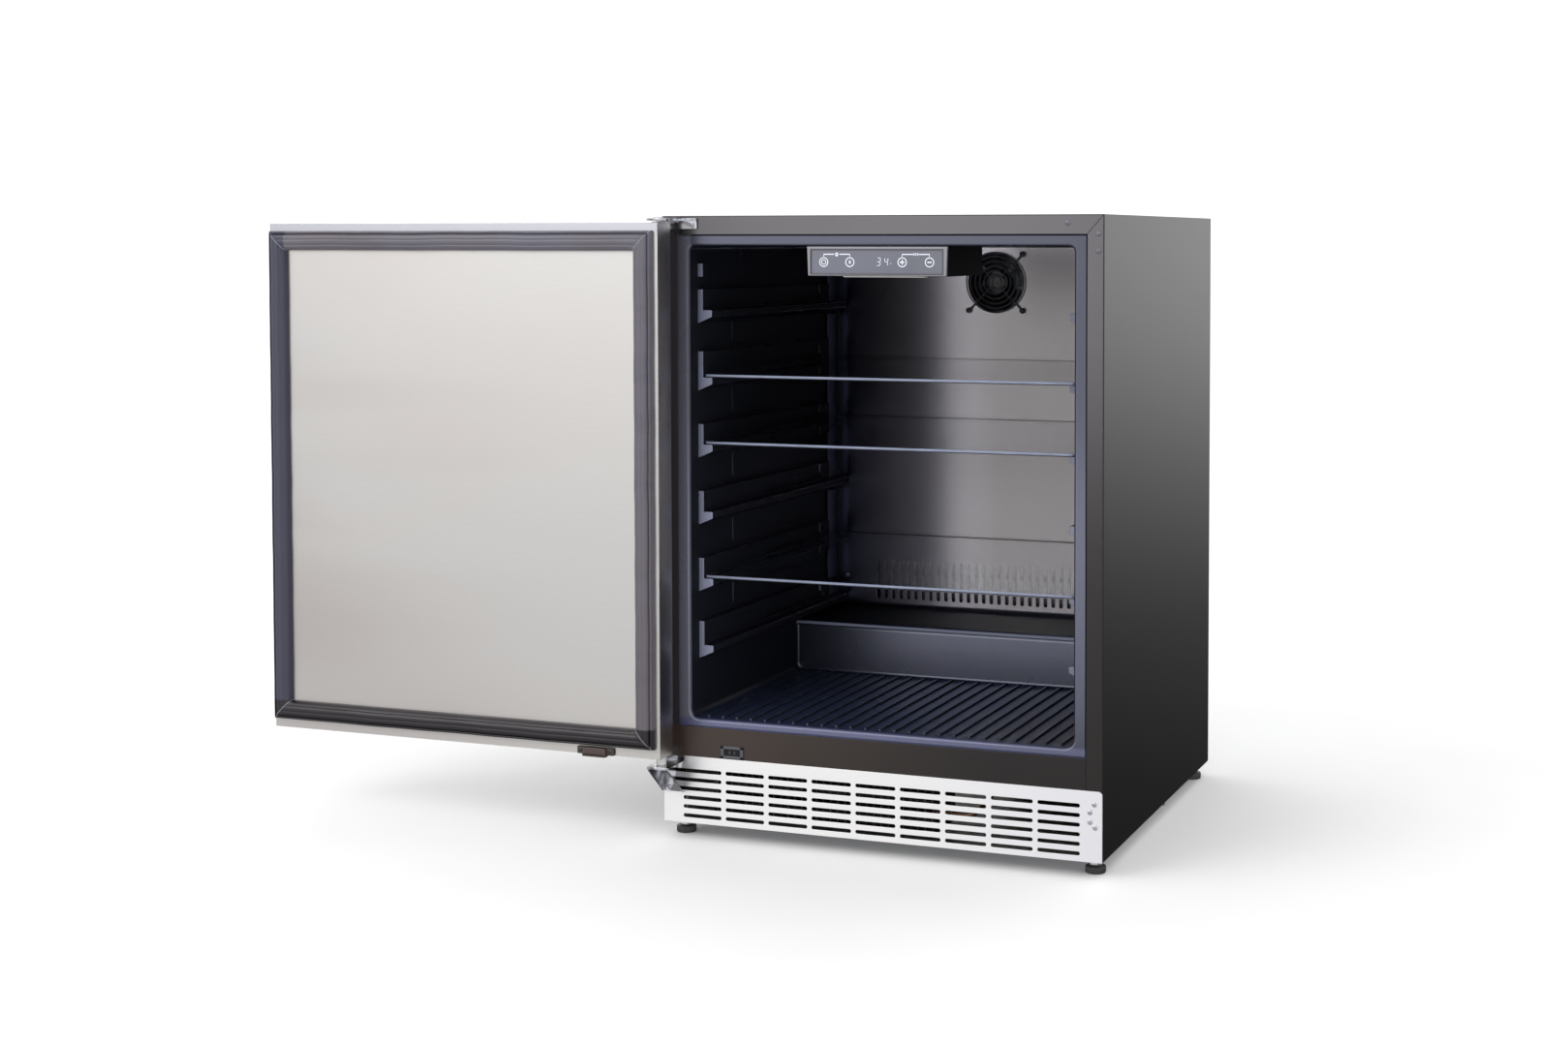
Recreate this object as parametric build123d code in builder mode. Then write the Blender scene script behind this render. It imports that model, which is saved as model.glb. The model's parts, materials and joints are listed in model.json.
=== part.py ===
from build123d import *
import os

# Undercounter refrigerator with its door swung fully open.
# Millimetres. X runs from the hinge side to the latch side, Y from front to back, Z up.
# The origin is the centre of the cabinet's footprint, on the floor.

os.makedirs("parts", exist_ok=True)

# --- Cabinet ----------------------------------------------------------------------------
WIDTH = 595.0
DEPTH = 570.0
BODY_HEIGHT = 792.0
FOOT_HEIGHT = 20.0
SHEET = 1.2          # painted steel sheet
SEAM = 0.5           # visible gap between neighbouring frame pieces

LEFT = -WIDTH / 2
RIGHT = WIDTH / 2
FRONT = -DEPTH / 2
BACK = DEPTH / 2
BASE = FOOT_HEIGHT
TOP = BASE + BODY_HEIGHT

# --- Front frame and kick plate ---------------------------------------------------------
FACE_THICKNESS = 2.0
EDGE_ROUND = 1.2
STILE_WIDTH = 21.0
TOP_RAIL_HEIGHT = 24.0
KICK_HEIGHT = 88.0
KICK_THICKNESS = 1.2
BOTTOM_RAIL_HEIGHT = 39.0
KICK_OVERLAP = 12.0  # how far the bottom rail runs down behind the kick plate

FACE_BACK = FRONT + FACE_THICKNESS
STILE_INNER = RIGHT - STILE_WIDTH
KICK_TOP = BASE + KICK_HEIGHT
BOTTOM_RAIL_TOP = KICK_TOP + BOTTOM_RAIL_HEIGHT
TOP_RAIL_BOTTOM = TOP - TOP_RAIL_HEIGHT

VENT_COLUMNS = 9
VENT_ROWS = 6
VENT_PITCH_X = 60.5
VENT_PITCH_Z = 11.85
VENT_LENGTH = 54.5
VENT_HEIGHT = 5.0
VENT_CENTRE_Z = BASE + 39.4

# --- Cavity -----------------------------------------------------------------------------
LINER_WALL = 2.0
CAVITY_HALF = 259.5
CAVITY_FLOOR = BASE + 138
CAVITY_CEILING = BASE + 753
CAVITY_BACK = BACK - 50
CAVITY_CORNER = 12.0
CEILING_CORNER = 7.0
STEP_FOOT = 5.0
MOUTH_RADIUS = 3.5
CHANNEL_WIDTH = 1.8
CHANNEL_DEPTH = 1.4
HUMP_FRONT = FRONT + 345
HUMP_TOP = BASE + 211
HUMP_ROUND = 9.0
RIB_COUNT = 25
RIB_PITCH = 20.0
RIB_WIDTH = 5.0
RIB_HEIGHT = 2.2
RIB_ROUND = 0.9
RIB_FRONT = FRONT + 14

SHELF_PITCH = 88.0
LOWEST_LEDGE = BASE + 229.3
BAR_HEIGHTS = (31.5, 27.0, 27.0, 27.0, 34.0, 27.0)   # side stops, from the lowest ledge up
LEDGES = [LOWEST_LEDGE + level * SHELF_PITCH for level in range(len(BAR_HEIGHTS))]
RAIL_FRONT = FRONT + 28
RIGHT_RAIL_FRONT = FRONT + 50    # the latch side starts further back
RAIL_BAR = 7.0       # side stop standing off the wall
RAIL_REACH = 20.0    # ledge standing off the wall
RAIL_TOE = 8.5
TOE_ROUND = 1.5
RAIL_HEEL = 17.5
BAR_BACK = FRONT + 452
GROOVE_DEPTH = 5.0
GROOVE_Y = (FRONT + 222, FRONT + 431)
GROOVE_Z = (4.5, 12.0)       # above the ledge
STOP_REACH = 3.0
STOP_Y = (FRONT + 412, FRONT + 440)
STOP_Z = (14.5, 26.0)        # above the ledge
PAD_Y = (FRONT + 130, BAR_BACK)
PAD_RAISE = 1.0

GLASS_THICKNESS = 4.0
GLASS_FRONT = FRONT + 30
GLASS_DEPTH = 460.0
GLASS_CLEARANCE = 0.5
SHELF_LIFT = 0.1     # running gap between a shelf and its ledges

# --- Evaporator cover and fans ----------------------------------------------------------
COVER_FRONT = FRONT + 495
COVER_THICKNESS = 1.0
COVER_HALF = CAVITY_HALF - 2
COVER_BOTTOM = BASE + 217
COVER_TOP = CAVITY_CEILING - 3
COVER_FLANGE_FRONT = BAR_BACK + 4
COVER_SCREWS = [(-241.0, BASE + 253), (241.0, BASE + 253)]
INTAKE_SLOTS = 33
INTAKE_PITCH = 11.9
INTAKE_WIDTH = 5.5
INTAKE_BOTTOM = BASE + 224
INTAKE_HEIGHT = 55.0

FAN_SIZE = 92.0
FAN_DEPTH = 20.0
FAN_BORE = 44.5
FAN_HOLE_PITCH = 82.5
FAN_SHAFT = 1.5
FAN_CLEARANCE = 0.05
FAN_CENTRE_X = -5.0
FAN_CENTRE_Z = BASE + 699
GUARD_WIRE = 1.0
GUARD_RINGS = (10.0, 17.0, 24.0, 31.0, 38.0, 44.0)

# --- Control panel ----------------------------------------------------------------------
PANEL_HALF = 95.0
PANEL_HEIGHT = 38.0
PANEL_FRONT = FRONT + 4
PANEL_TOP = CAVITY_CEILING
PANEL_BOTTOM = PANEL_TOP - PANEL_HEIGHT
HOUSING_DEPTH = 150.0

# --- Door, standing open at 180 degrees from closed -------------------------------------
DOOR_WIDTH = 588.0
DOOR_THICKNESS = 38.0
DOOR_BOTTOM = BASE + 94
DOOR_TOP = BASE + 783
DOOR_SHEET = 1.0
HINGE_X = LEFT + 13
HINGE_Y = FRONT - 34
DOOR_HINGE_EDGE = LEFT + 22.5
DOOR_FREE_EDGE = DOOR_HINGE_EDGE - DOOR_WIDTH
DOOR_INNER_FACE = FRONT - 56
DOOR_OUTER_FACE = DOOR_INNER_FACE + DOOR_THICKNESS

GASKET_WIDTH = 26.0
GASKET_HEIGHT = 11.5
GASKET_HINGE_MARGIN = 7.0
GASKET_FREE_MARGIN = 2.0
GASKET_TOP_MARGIN = 10.0
GASKET_BOTTOM_MARGIN = 12.0

HANDLE_RADIUS = 8.0
HANDLE_LENGTH = 520.0
HANDLE_POST_SPACING = 400.0
HANDLE_POST_RADIUS = 6.0
HANDLE_X = DOOR_FREE_EDGE + 40
HANDLE_Y = DOOR_OUTER_FACE + 38
HANDLE_Z = (DOOR_BOTTOM + DOOR_TOP) / 2

PIN_RADIUS = 4.0
PIN_CLEARANCE = 0.05
BUSH_RADIUS = 7.0
BRACKET_SHEET = 2.5
TOP_PLATE_BOTTOM = BASE + 785.5
TOP_PLATE_THICKNESS = 3.0
BOTTOM_PLATE_BOTTOM = BASE + 79
BOTTOM_PLATE_THICKNESS = 3.0

# --- Machine compartment ----------------------------------------------------------------
PAN_BOTTOM = BASE + 1.5
PAN_SHEET = 1.5
PAN_TOP = PAN_BOTTOM + PAN_SHEET
FRONT_BAY_TOP = BASE + 105
REAR_BAY_FRONT = FRONT + 380
REAR_BAY_TOP = BASE + 178
SERVICE_COVER_Y = BACK - 13
FOOT_X = 280.5
FOOT_Y = 255.0
FOOT_RADIUS = 13.0
FOOT_SHAFT = 4.0
COMPRESSOR_X = 130.0
COMPRESSOR_Y = 185.0
COMPRESSOR_TOP = BASE + 146
MOUNT_SPACING_X = 150.0
MOUNT_SPACING_Y = 100.0
CONDENSER_FAN_X = -80.0
CONDENSER_FAN_Y = FRONT + 120
CONDENSER_FAN_Z = BASE + 54
GLAND_X = -200.0
GLAND_Z = BASE + 60
GLAND_BORE = 3.6
DRAIN_Y = 222.0

SCREW_RADIUS = 1.6
SCREW_LENGTH = 3.5
SCREW_HEAD_RADIUS = 3.2
SCREW_HEAD_HEIGHT = 1.8
GUARD_SCREW_RADIUS = 2.0
GUARD_SCREW_HOLE = 2.2
BOLT_RADIUS = 3.0

STILE_SCREWS = [(RIGHT - 7, BASE + 768), (RIGHT - 7, BASE + 747)]
TOP_RAIL_SCREW = (RIGHT - 46, BASE + 781.5)
KICK_SCREWS = [
    (RIGHT - 10, BASE + 72),
    (RIGHT - 15.5, BASE + 62),
    (RIGHT - 15.5, BASE + 50),
    (RIGHT - 9, BASE + 43.5),
]
TOP_HINGE_SCREWS = [(LEFT + 45, BASE + 781.5)]
BOTTOM_HINGE_SCREWS = [(LEFT + 9.5, BASE + 46), (LEFT + 18, BASE + 53)]
CHASSIS_BOLTS = [(-287.0, 35.0), (287.0, 35.0)]


# --- Helpers ----------------------------------------------------------------------------
def save(piece, name):
    """Label a finished piece and write it as its own file."""
    piece.part.label = name
    export_step(piece.part, f"parts/{name}.step")


def block(x, y, z, mode=Mode.ADD):
    """A box between two corners, each axis given as (low, high)."""
    with Locations(((x[0] + x[1]) / 2, (y[0] + y[1]) / 2, (z[0] + z[1]) / 2)):
        return Box(x[1] - x[0], y[1] - y[0], z[1] - z[0], mode=mode)


def facing(y):
    """An upright plane at depth y: sketches use X and Z, and extrude goes to the front."""
    return Plane.XZ.offset(-y)


def rod(x, z, radius, y_front, y_back, mode=Mode.ADD):
    """A round bar along Y."""
    centre = (x, (y_front + y_back) / 2, z)
    with Locations(Location(centre, (90, 0, 0))):
        return Cylinder(radius, y_back - y_front, mode=mode)


def post(x, y, radius, low, high, mode=Mode.ADD):
    """A round bar along Z."""
    with Locations((x, y, (low + high) / 2)):
        return Cylinder(radius, high - low, mode=mode)


def drill(holes, y_front, y_back, radius=SCREW_RADIUS):
    """Round holes along Y at a list of (x, z) places."""
    for x, z in holes:
        rod(x, z, radius, y_front, y_back, mode=Mode.SUBTRACT)


def screw(x, z, seat, direction=-1):
    """A pan-head screw along Y whose cross-slotted head stands on the face at seat."""
    top = seat + direction * SCREW_HEAD_HEIGHT
    slot_floor = seat + direction * SCREW_HEAD_HEIGHT / 2
    rod(x, z, SCREW_RADIUS, *sorted((seat, seat - direction * SCREW_LENGTH)))
    rod(x, z, SCREW_HEAD_RADIUS, *sorted((seat, top)))
    slot_y = sorted((top, slot_floor))
    block((x - 1.9, x + 1.9), slot_y, (z - 0.4, z + 0.4), mode=Mode.SUBTRACT)
    block((x - 0.4, x + 0.4), slot_y, (z - 1.9, z + 1.9), mode=Mode.SUBTRACT)


# --- Outer casing -----------------------------------------------------------------------
for side, name in ((-1, "side_panel_left"), (1, "side_panel_right")):
    with BuildPart() as side_panel:
        block(sorted((side * RIGHT, side * (RIGHT - SHEET))), (FACE_BACK, BACK), (BASE, TOP))
        block(sorted((side * RIGHT, side * (RIGHT - 14))), (BACK - SHEET, BACK), (BASE, TOP))
    save(side_panel, name)

CASE_HALF = RIGHT - SHEET

with BuildPart() as top_panel:
    block((-CASE_HALF, CASE_HALF), (FACE_BACK, BACK - SHEET), (TOP - SHEET, TOP))
save(top_panel, "top_panel")

with BuildPart() as back_panel:
    shelf_z = (REAR_BAY_TOP - SHEET, REAR_BAY_TOP)
    block((-CASE_HALF, CASE_HALF), (BACK - 2 * SHEET, BACK - SHEET), (shelf_z[0], TOP - SHEET))
    block((-CASE_HALF, CASE_HALF), (SERVICE_COVER_Y + SHEET, BACK - SHEET), shelf_z)
save(back_panel, "back_panel")

SERVICE_SCREWS = [
    (x, z)
    for x in (-CASE_HALF + 8, 0, CASE_HALF - 8)
    for z in (PAN_TOP + 7, REAR_BAY_TOP - SHEET - 7)
]

with BuildPart() as rear_service_cover:
    cover_z = (PAN_TOP, REAR_BAY_TOP - SHEET)
    block((-CASE_HALF, CASE_HALF), (SERVICE_COVER_Y, SERVICE_COVER_Y + SHEET), cover_z)
    with BuildSketch(facing(SERVICE_COVER_Y)):
        for centre in (-90, 150):
            with Locations((centre, (PAN_TOP + REAR_BAY_TOP) / 2)):
                with GridLocations(60, 12, 3, 10):
                    SlotOverall(50, 4.5)
        with Locations((GLAND_X, GLAND_Z)):
            Circle(8)
    extrude(amount=-SHEET, mode=Mode.SUBTRACT)
    drill(SERVICE_SCREWS, SERVICE_COVER_Y, SERVICE_COVER_Y + SHEET)
save(rear_service_cover, "rear_service_cover")

GROMMET_PLACES = [
    (COMPRESSOR_X + i * MOUNT_SPACING_X / 2, COMPRESSOR_Y + j * MOUNT_SPACING_Y / 2)
    for i in (-1, 1)
    for j in (-1, 1)
]
FOOT_PLACES = {
    "foot_front_left": (-FOOT_X, -FOOT_Y),
    "foot_front_right": (FOOT_X, -FOOT_Y),
    "foot_rear_left": (-FOOT_X, FOOT_Y),
    "foot_rear_right": (FOOT_X, FOOT_Y),
}

with BuildPart() as base_pan:
    block((-CASE_HALF, CASE_HALF), (FACE_BACK, BACK - SHEET), (PAN_BOTTOM, PAN_TOP))
    for side in (-1, 1):
        wall = sorted((side * CASE_HALF, side * (CASE_HALF - PAN_SHEET)))
        block(wall, (FACE_BACK, SERVICE_COVER_Y), (PAN_TOP, PAN_TOP + 14))
    for x, y in FOOT_PLACES.values():
        post(x, y, FOOT_SHAFT + PIN_CLEARANCE, PAN_BOTTOM, PAN_TOP, mode=Mode.SUBTRACT)
    for x, y in GROMMET_PLACES + CHASSIS_BOLTS:
        post(x, y, BOLT_RADIUS, PAN_BOTTOM, PAN_TOP, mode=Mode.SUBTRACT)
save(base_pan, "base_pan")

# --- Front frame: four rails, mitred at the top corners ---------------------------------
with BuildPart() as frame_top_rail:
    with BuildSketch(facing(FACE_BACK)):
        with BuildLine():
            Polyline(
                (LEFT + SEAM, TOP),
                (RIGHT - SEAM, TOP),
                (STILE_INNER - SEAM, TOP_RAIL_BOTTOM),
                (-STILE_INNER + SEAM, TOP_RAIL_BOTTOM),
                close=True,
            )
        make_face()
    extrude(amount=FACE_THICKNESS)
    top_edges = frame_top_rail.edges().filter_by(Axis.X).group_by(Axis.Z)[-1]
    fillet(top_edges.sort_by(Axis.Y)[0], EDGE_ROUND)
    drill([TOP_RAIL_SCREW] + TOP_HINGE_SCREWS, FRONT, FACE_BACK)
save(frame_top_rail, "frame_top_rail")

for side, name in ((-1, "frame_left_stile"), (1, "frame_right_stile")):
    with BuildPart() as stile:
        with BuildSketch(facing(FACE_BACK)):
            with BuildLine():
                Polyline(
                    (side * RIGHT, BASE + 4),
                    (side * RIGHT, TOP),
                    (side * STILE_INNER, TOP_RAIL_BOTTOM),
                    (side * STILE_INNER, BASE + 4),
                    close=True,
                )
            make_face()
        extrude(amount=FACE_THICKNESS)
        upright_edges = stile.edges().filter_by(Axis.Z).sort_by(Axis.X)
        outer_edges = upright_edges[-2:] if side > 0 else upright_edges[:2]
        fillet(outer_edges.sort_by(Axis.Y)[0], EDGE_ROUND)
        holes = STILE_SCREWS + KICK_SCREWS if side > 0 else BOTTOM_HINGE_SCREWS
        drill(holes, FRONT, FACE_BACK)
    save(stile, name)

with BuildPart() as frame_bottom_rail:
    half = STILE_INNER - SEAM
    block((-half, half), (FRONT, FACE_BACK), (KICK_TOP - KICK_OVERLAP, BOTTOM_RAIL_TOP))
save(frame_bottom_rail, "frame_bottom_rail")

with BuildPart() as kick_plate:
    with BuildSketch(facing(FRONT)):
        with Locations((0, BASE + KICK_HEIGHT / 2)):
            plate_outline = Rectangle(WIDTH, KICK_HEIGHT)
        fillet(plate_outline.vertices().group_by(Axis.Y)[-1], 5)
        with Locations((0, VENT_CENTRE_Z)):
            with GridLocations(VENT_PITCH_X, VENT_PITCH_Z, VENT_COLUMNS, VENT_ROWS):
                SlotOverall(VENT_LENGTH, VENT_HEIGHT, mode=Mode.SUBTRACT)
    extrude(amount=KICK_THICKNESS)
    block((-CASE_HALF, CASE_HALF), (FRONT - KICK_THICKNESS, FRONT + 13), (BASE, BASE + KICK_THICKNESS))
    drill(KICK_SCREWS + BOTTOM_HINGE_SCREWS, FRONT - KICK_THICKNESS, FRONT)
save(kick_plate, "kick_plate")

with BuildPart() as cabinet_screws:
    for x, z in STILE_SCREWS + [TOP_RAIL_SCREW]:
        screw(x, z, FRONT)
    for x, z in KICK_SCREWS:
        screw(x, z, FRONT - KICK_THICKNESS)
    for x, z in SERVICE_SCREWS:
        screw(x, z, SERVICE_COVER_Y + SHEET, direction=1)
save(cabinet_screws, "cabinet_screws")

# --- Liner ------------------------------------------------------------------------------
FLANGE_SIDE = STILE_INNER + 8.5
FLANGE_BOTTOM = BOTTOM_RAIL_TOP - 8
FLANGE_TOP = TOP_RAIL_BOTTOM + 9
FLANGE_BACK = FACE_BACK + 2
COLLAR_BACK = FACE_BACK + 8
COLLAR = 10.0


def cavity_solid(grow):
    """The cavity with the compressor step, grown outwards on every side but the mouth."""
    half = CAVITY_HALF + grow
    low = CAVITY_FLOOR - grow
    high = CAVITY_CEILING + grow
    with BuildPart() as solid:
        with BuildSketch(Plane.YZ.offset(-half)):
            with BuildLine():
                Polyline(
                    (FACE_BACK, low),
                    (HUMP_FRONT + grow, low),
                    (HUMP_FRONT + grow, HUMP_TOP - grow),
                    (CAVITY_BACK + grow, HUMP_TOP - grow),
                    (CAVITY_BACK + grow, high),
                    (FACE_BACK, high),
                    close=True,
                )
            make_face()
        extrude(amount=2 * half)
        long_edges = solid.edges().filter_by(Axis.Y)
        fillet(long_edges.filter_by_position(Axis.Z, high - 1, high + 1), CEILING_CORNER + grow)
        fillet(long_edges.filter_by_position(Axis.Z, low - 1, low + 1), CAVITY_CORNER + grow)
        floor_edges = solid.edges().filter_by(Axis.X).filter_by_position(Axis.Z, low - 1, low + 1)
        fillet(floor_edges.sort_by(Axis.Y)[-1], STEP_FOOT + grow)
        step = HUMP_TOP - grow
        step_edges = solid.edges().filter_by(Axis.X).filter_by_position(Axis.Z, step - 1, step + 1)
        fillet(step_edges.sort_by(Axis.Y)[0], HUMP_ROUND - grow)
    return solid.part


cavity = cavity_solid(0)
liner_shell = cavity_solid(LINER_WALL)
collar_half = CAVITY_HALF + COLLAR
collar_z = (CAVITY_FLOOR - COLLAR, CAVITY_CEILING + COLLAR)
RAIL_BACK = COVER_FRONT - 2

# Floor ribs with rounded front ends.
with BuildPart() as floor_ribs:
    rib_length = HUMP_FRONT + LINER_WALL / 2 - RIB_FRONT
    with BuildSketch(Plane.XY.offset(CAVITY_FLOOR)):
        with Locations((0, RIB_FRONT + rib_length / 2)):
            with GridLocations(RIB_PITCH, 1, RIB_COUNT, 1):
                SlotOverall(rib_length, RIB_WIDTH, rotation=90)
    extrude(amount=RIB_HEIGHT)
    fillet(floor_ribs.edges().group_by(Axis.Z)[-1], RIB_ROUND)
    add(liner_shell, mode=Mode.INTERSECT)

with BuildPart() as liner:
    add(liner_shell)
    block((-FLANGE_SIDE, FLANGE_SIDE), (FACE_BACK, FLANGE_BACK), (FLANGE_BOTTOM, FLANGE_TOP))
    block((-collar_half, collar_half), (FLANGE_BACK, COLLAR_BACK), collar_z)
    add(cavity, mode=Mode.SUBTRACT)
    mouth = liner.faces().filter_by(Axis.Y).sort_by(Axis.Y)[0].inner_wires()[0].edges()
    fillet(mouth, MOUTH_RADIUS)

    # A narrow channel in the flange, just inside the front frame.
    with BuildSketch(facing(FACE_BACK)):
        with Locations((0, (BOTTOM_RAIL_TOP + TOP_RAIL_BOTTOM) / 2)):
            Rectangle(2 * STILE_INNER, TOP_RAIL_BOTTOM - BOTTOM_RAIL_TOP)
            inset = 2 * CHANNEL_WIDTH
            inner_height = TOP_RAIL_BOTTOM - BOTTOM_RAIL_TOP - inset
            Rectangle(2 * STILE_INNER - inset, inner_height, mode=Mode.SUBTRACT)
    extrude(amount=-CHANNEL_DEPTH, mode=Mode.SUBTRACT)
    add(floor_ribs.part)

    for side, rail_front in ((-1, RAIL_FRONT), (1, RIGHT_RAIL_FRONT)):
        wall = side * (CAVITY_HALF + LINER_WALL / 2)
        toe = side * (CAVITY_HALF - RAIL_REACH)

        # Shelf ledges, as deep as the wall.
        with BuildSketch(facing(rail_front)) as ledge_ends:
            for ledge in LEDGES:
                with BuildLine():
                    Polyline(
                        (wall, ledge),
                        (toe, ledge),
                        (toe, ledge - RAIL_TOE),
                        (wall, ledge - RAIL_HEEL),
                        close=True,
                    )
                make_face()
            by_reach = ledge_ends.vertices().group_by(Axis.X)
            fillet(by_reach[-1] if side < 0 else by_reach[0], TOE_ROUND)
        extrude(amount=-(RAIL_BACK - rail_front))

        # Side stops above the ledges, with a groove and a small stop at the rear of each.
        bar = side * (CAVITY_HALF - RAIL_BAR)
        groove = side * (CAVITY_HALF - RAIL_BAR + GROOVE_DEPTH)
        stop = side * (CAVITY_HALF - RAIL_BAR - STOP_REACH)
        for ledge, height in zip(LEDGES, BAR_HEIGHTS):
            block(sorted((wall, bar)), (rail_front, BAR_BACK), (ledge - 1, ledge + height))
            groove_z = (ledge + GROOVE_Z[0], ledge + GROOVE_Z[1])
            block(sorted((groove, bar)), GROOVE_Y, groove_z, mode=Mode.SUBTRACT)
            block(sorted((stop, bar)), STOP_Y, (ledge + STOP_Z[0], ledge + STOP_Z[1]))

        # Short blind stops above the top rails, and a clip under the ceiling.
        block(sorted((wall, bar)), (rail_front, rail_front + 10), (BASE + 713, BASE + 730))
        clip_x = sorted((side * (CAVITY_HALF - 5), side * (CAVITY_HALF + 0.3)))
        block(clip_x, (FRONT + 154, FRONT + 160), (BASE + 735, BASE + 747))

    # Raised pads between the rails.
    pad_wall = CAVITY_HALF + LINER_WALL / 2
    for plane_x, thickness in ((-pad_wall, 1), (pad_wall, -1)):
        with BuildSketch(Plane.YZ.offset(plane_x)):
            for lower, upper, height in zip(LEDGES, LEDGES[1:], BAR_HEIGHTS):
                pad_low = lower + height + 7
                pad_high = upper - RAIL_HEEL + 1
                with Locations((sum(PAD_Y) / 2, (pad_low + pad_high) / 2)):
                    RectangleRounded(PAD_Y[1] - PAD_Y[0], pad_high - pad_low, 5)
        extrude(amount=thickness * (LINER_WALL / 2 + PAD_RAISE))

    post(COMPRESSOR_X, DRAIN_Y, 7, HUMP_TOP - LINER_WALL, HUMP_TOP, mode=Mode.SUBTRACT)

# --- Machine compartment ----------------------------------------------------------------
with BuildPart() as compressor:
    with BuildSketch(Plane.XY.offset(BASE + 18)):
        with Locations((COMPRESSOR_X, COMPRESSOR_Y)):
            Ellipse(72, 58)
    extrude(amount=COMPRESSOR_TOP - BASE - 18)
    fillet(compressor.edges().group_by(Axis.Z)[-1], 30)
    fillet(compressor.edges().group_by(Axis.Z)[0], 24)
    with BuildSketch(Plane.XY.offset(BASE + 84)):
        with Locations((COMPRESSOR_X, COMPRESSOR_Y)):
            Ellipse(75, 61)
    extrude(amount=4)
    with BuildSketch(Plane.XY.offset(BASE + 14)):
        with Locations((COMPRESSOR_X, COMPRESSOR_Y)):
            RectangleRounded(MOUNT_SPACING_X + 30, MOUNT_SPACING_Y + 30, 12)
            with GridLocations(MOUNT_SPACING_X, MOUNT_SPACING_Y, 2, 2):
                Circle(8, mode=Mode.SUBTRACT)
    extrude(amount=4)
save(compressor, "compressor")

with BuildPart() as compressor_grommets:
    for x, y in GROMMET_PLACES:
        post(x, y, 8, PAN_TOP, BASE + 24)
        post(x, y, 11, PAN_TOP, BASE + 14)
        post(x, y, 11, BASE + 18, BASE + 22)
        post(x, y, BOLT_RADIUS, PAN_TOP, BASE + 24, mode=Mode.SUBTRACT)
save(compressor_grommets, "compressor_grommets")

with BuildPart() as base_bolts:
    for x, y in GROMMET_PLACES:
        post(x, y, BOLT_RADIUS, PAN_BOTTOM - 3, BASE + 27)
        post(x, y, 8, PAN_BOTTOM - 4, PAN_BOTTOM)
        post(x, y, 6, BASE + 24, BASE + 27)
    for x, y in CHASSIS_BOLTS:
        post(x, y, BOLT_RADIUS, PAN_BOTTOM - 3, PAN_TOP + 6)
        post(x, y, 8, PAN_BOTTOM - 7, PAN_BOTTOM)
save(base_bolts, "base_bolts")

with BuildPart() as start_relay:
    relay_x = (COMPRESSOR_X - 104, COMPRESSOR_X - 74)
    block(relay_x, (COMPRESSOR_Y - 20, COMPRESSOR_Y + 20), (BASE + 50, BASE + 100))
    fillet(start_relay.edges().filter_by(Axis.Z), 3)
    add(compressor.part, mode=Mode.SUBTRACT)
save(start_relay, "start_relay")

TRAY_BOTTOM = COMPRESSOR_TOP
with BuildPart() as drip_tray:
    with BuildSketch(Plane.XY.offset(TRAY_BOTTOM)):
        with Locations((COMPRESSOR_X, COMPRESSOR_Y + 2)):
            RectangleRounded(150, 112, 10)
    extrude(amount=18)
    offset(amount=-1.5, openings=drip_tray.faces().sort_by(Axis.Z)[-1])
save(drip_tray, "drip_tray")

with BuildPart() as drain_tube:
    post(COMPRESSOR_X, DRAIN_Y, 7, TRAY_BOTTOM + 22, HUMP_TOP)
    post(COMPRESSOR_X, DRAIN_Y, 5.5, TRAY_BOTTOM + 22, HUMP_TOP, mode=Mode.SUBTRACT)
save(drain_tube, "drain_tube")

CONDENSER_X = (-230.0, 70.0)
CONDENSER_Y = (FRONT + 20, FRONT + 105)
CONDENSER_Z = (PAN_TOP + 5, FRONT_BAY_TOP - 12)
with BuildPart() as condenser_coil:
    for index in range(31):
        x = CONDENSER_X[0] + index * (CONDENSER_X[1] - CONDENSER_X[0] - 1) / 30
        block((x, x + 1), CONDENSER_Y, CONDENSER_Z)
    for row in range(3):
        for column in range(3):
            y = CONDENSER_Y[0] + 15 + row * 27
            z = CONDENSER_Z[0] + 14 + column * 26
            with Locations(Location(((CONDENSER_X[0] + CONDENSER_X[1]) / 2, y, z), (0, 90, 0))):
                Cylinder(4, CONDENSER_X[1] - CONDENSER_X[0])
save(condenser_coil, "condenser_coil")

DRIER_X = -20.0
DRIER_Y = (120.0, 215.0)
DRIER_Z = BASE + 70
with BuildPart() as filter_drier:
    rod(DRIER_X, DRIER_Z, 9, *DRIER_Y)
    fillet(filter_drier.edges().filter_by(GeomType.CIRCLE), 4)
save(filter_drier, "filter_drier")

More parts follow.
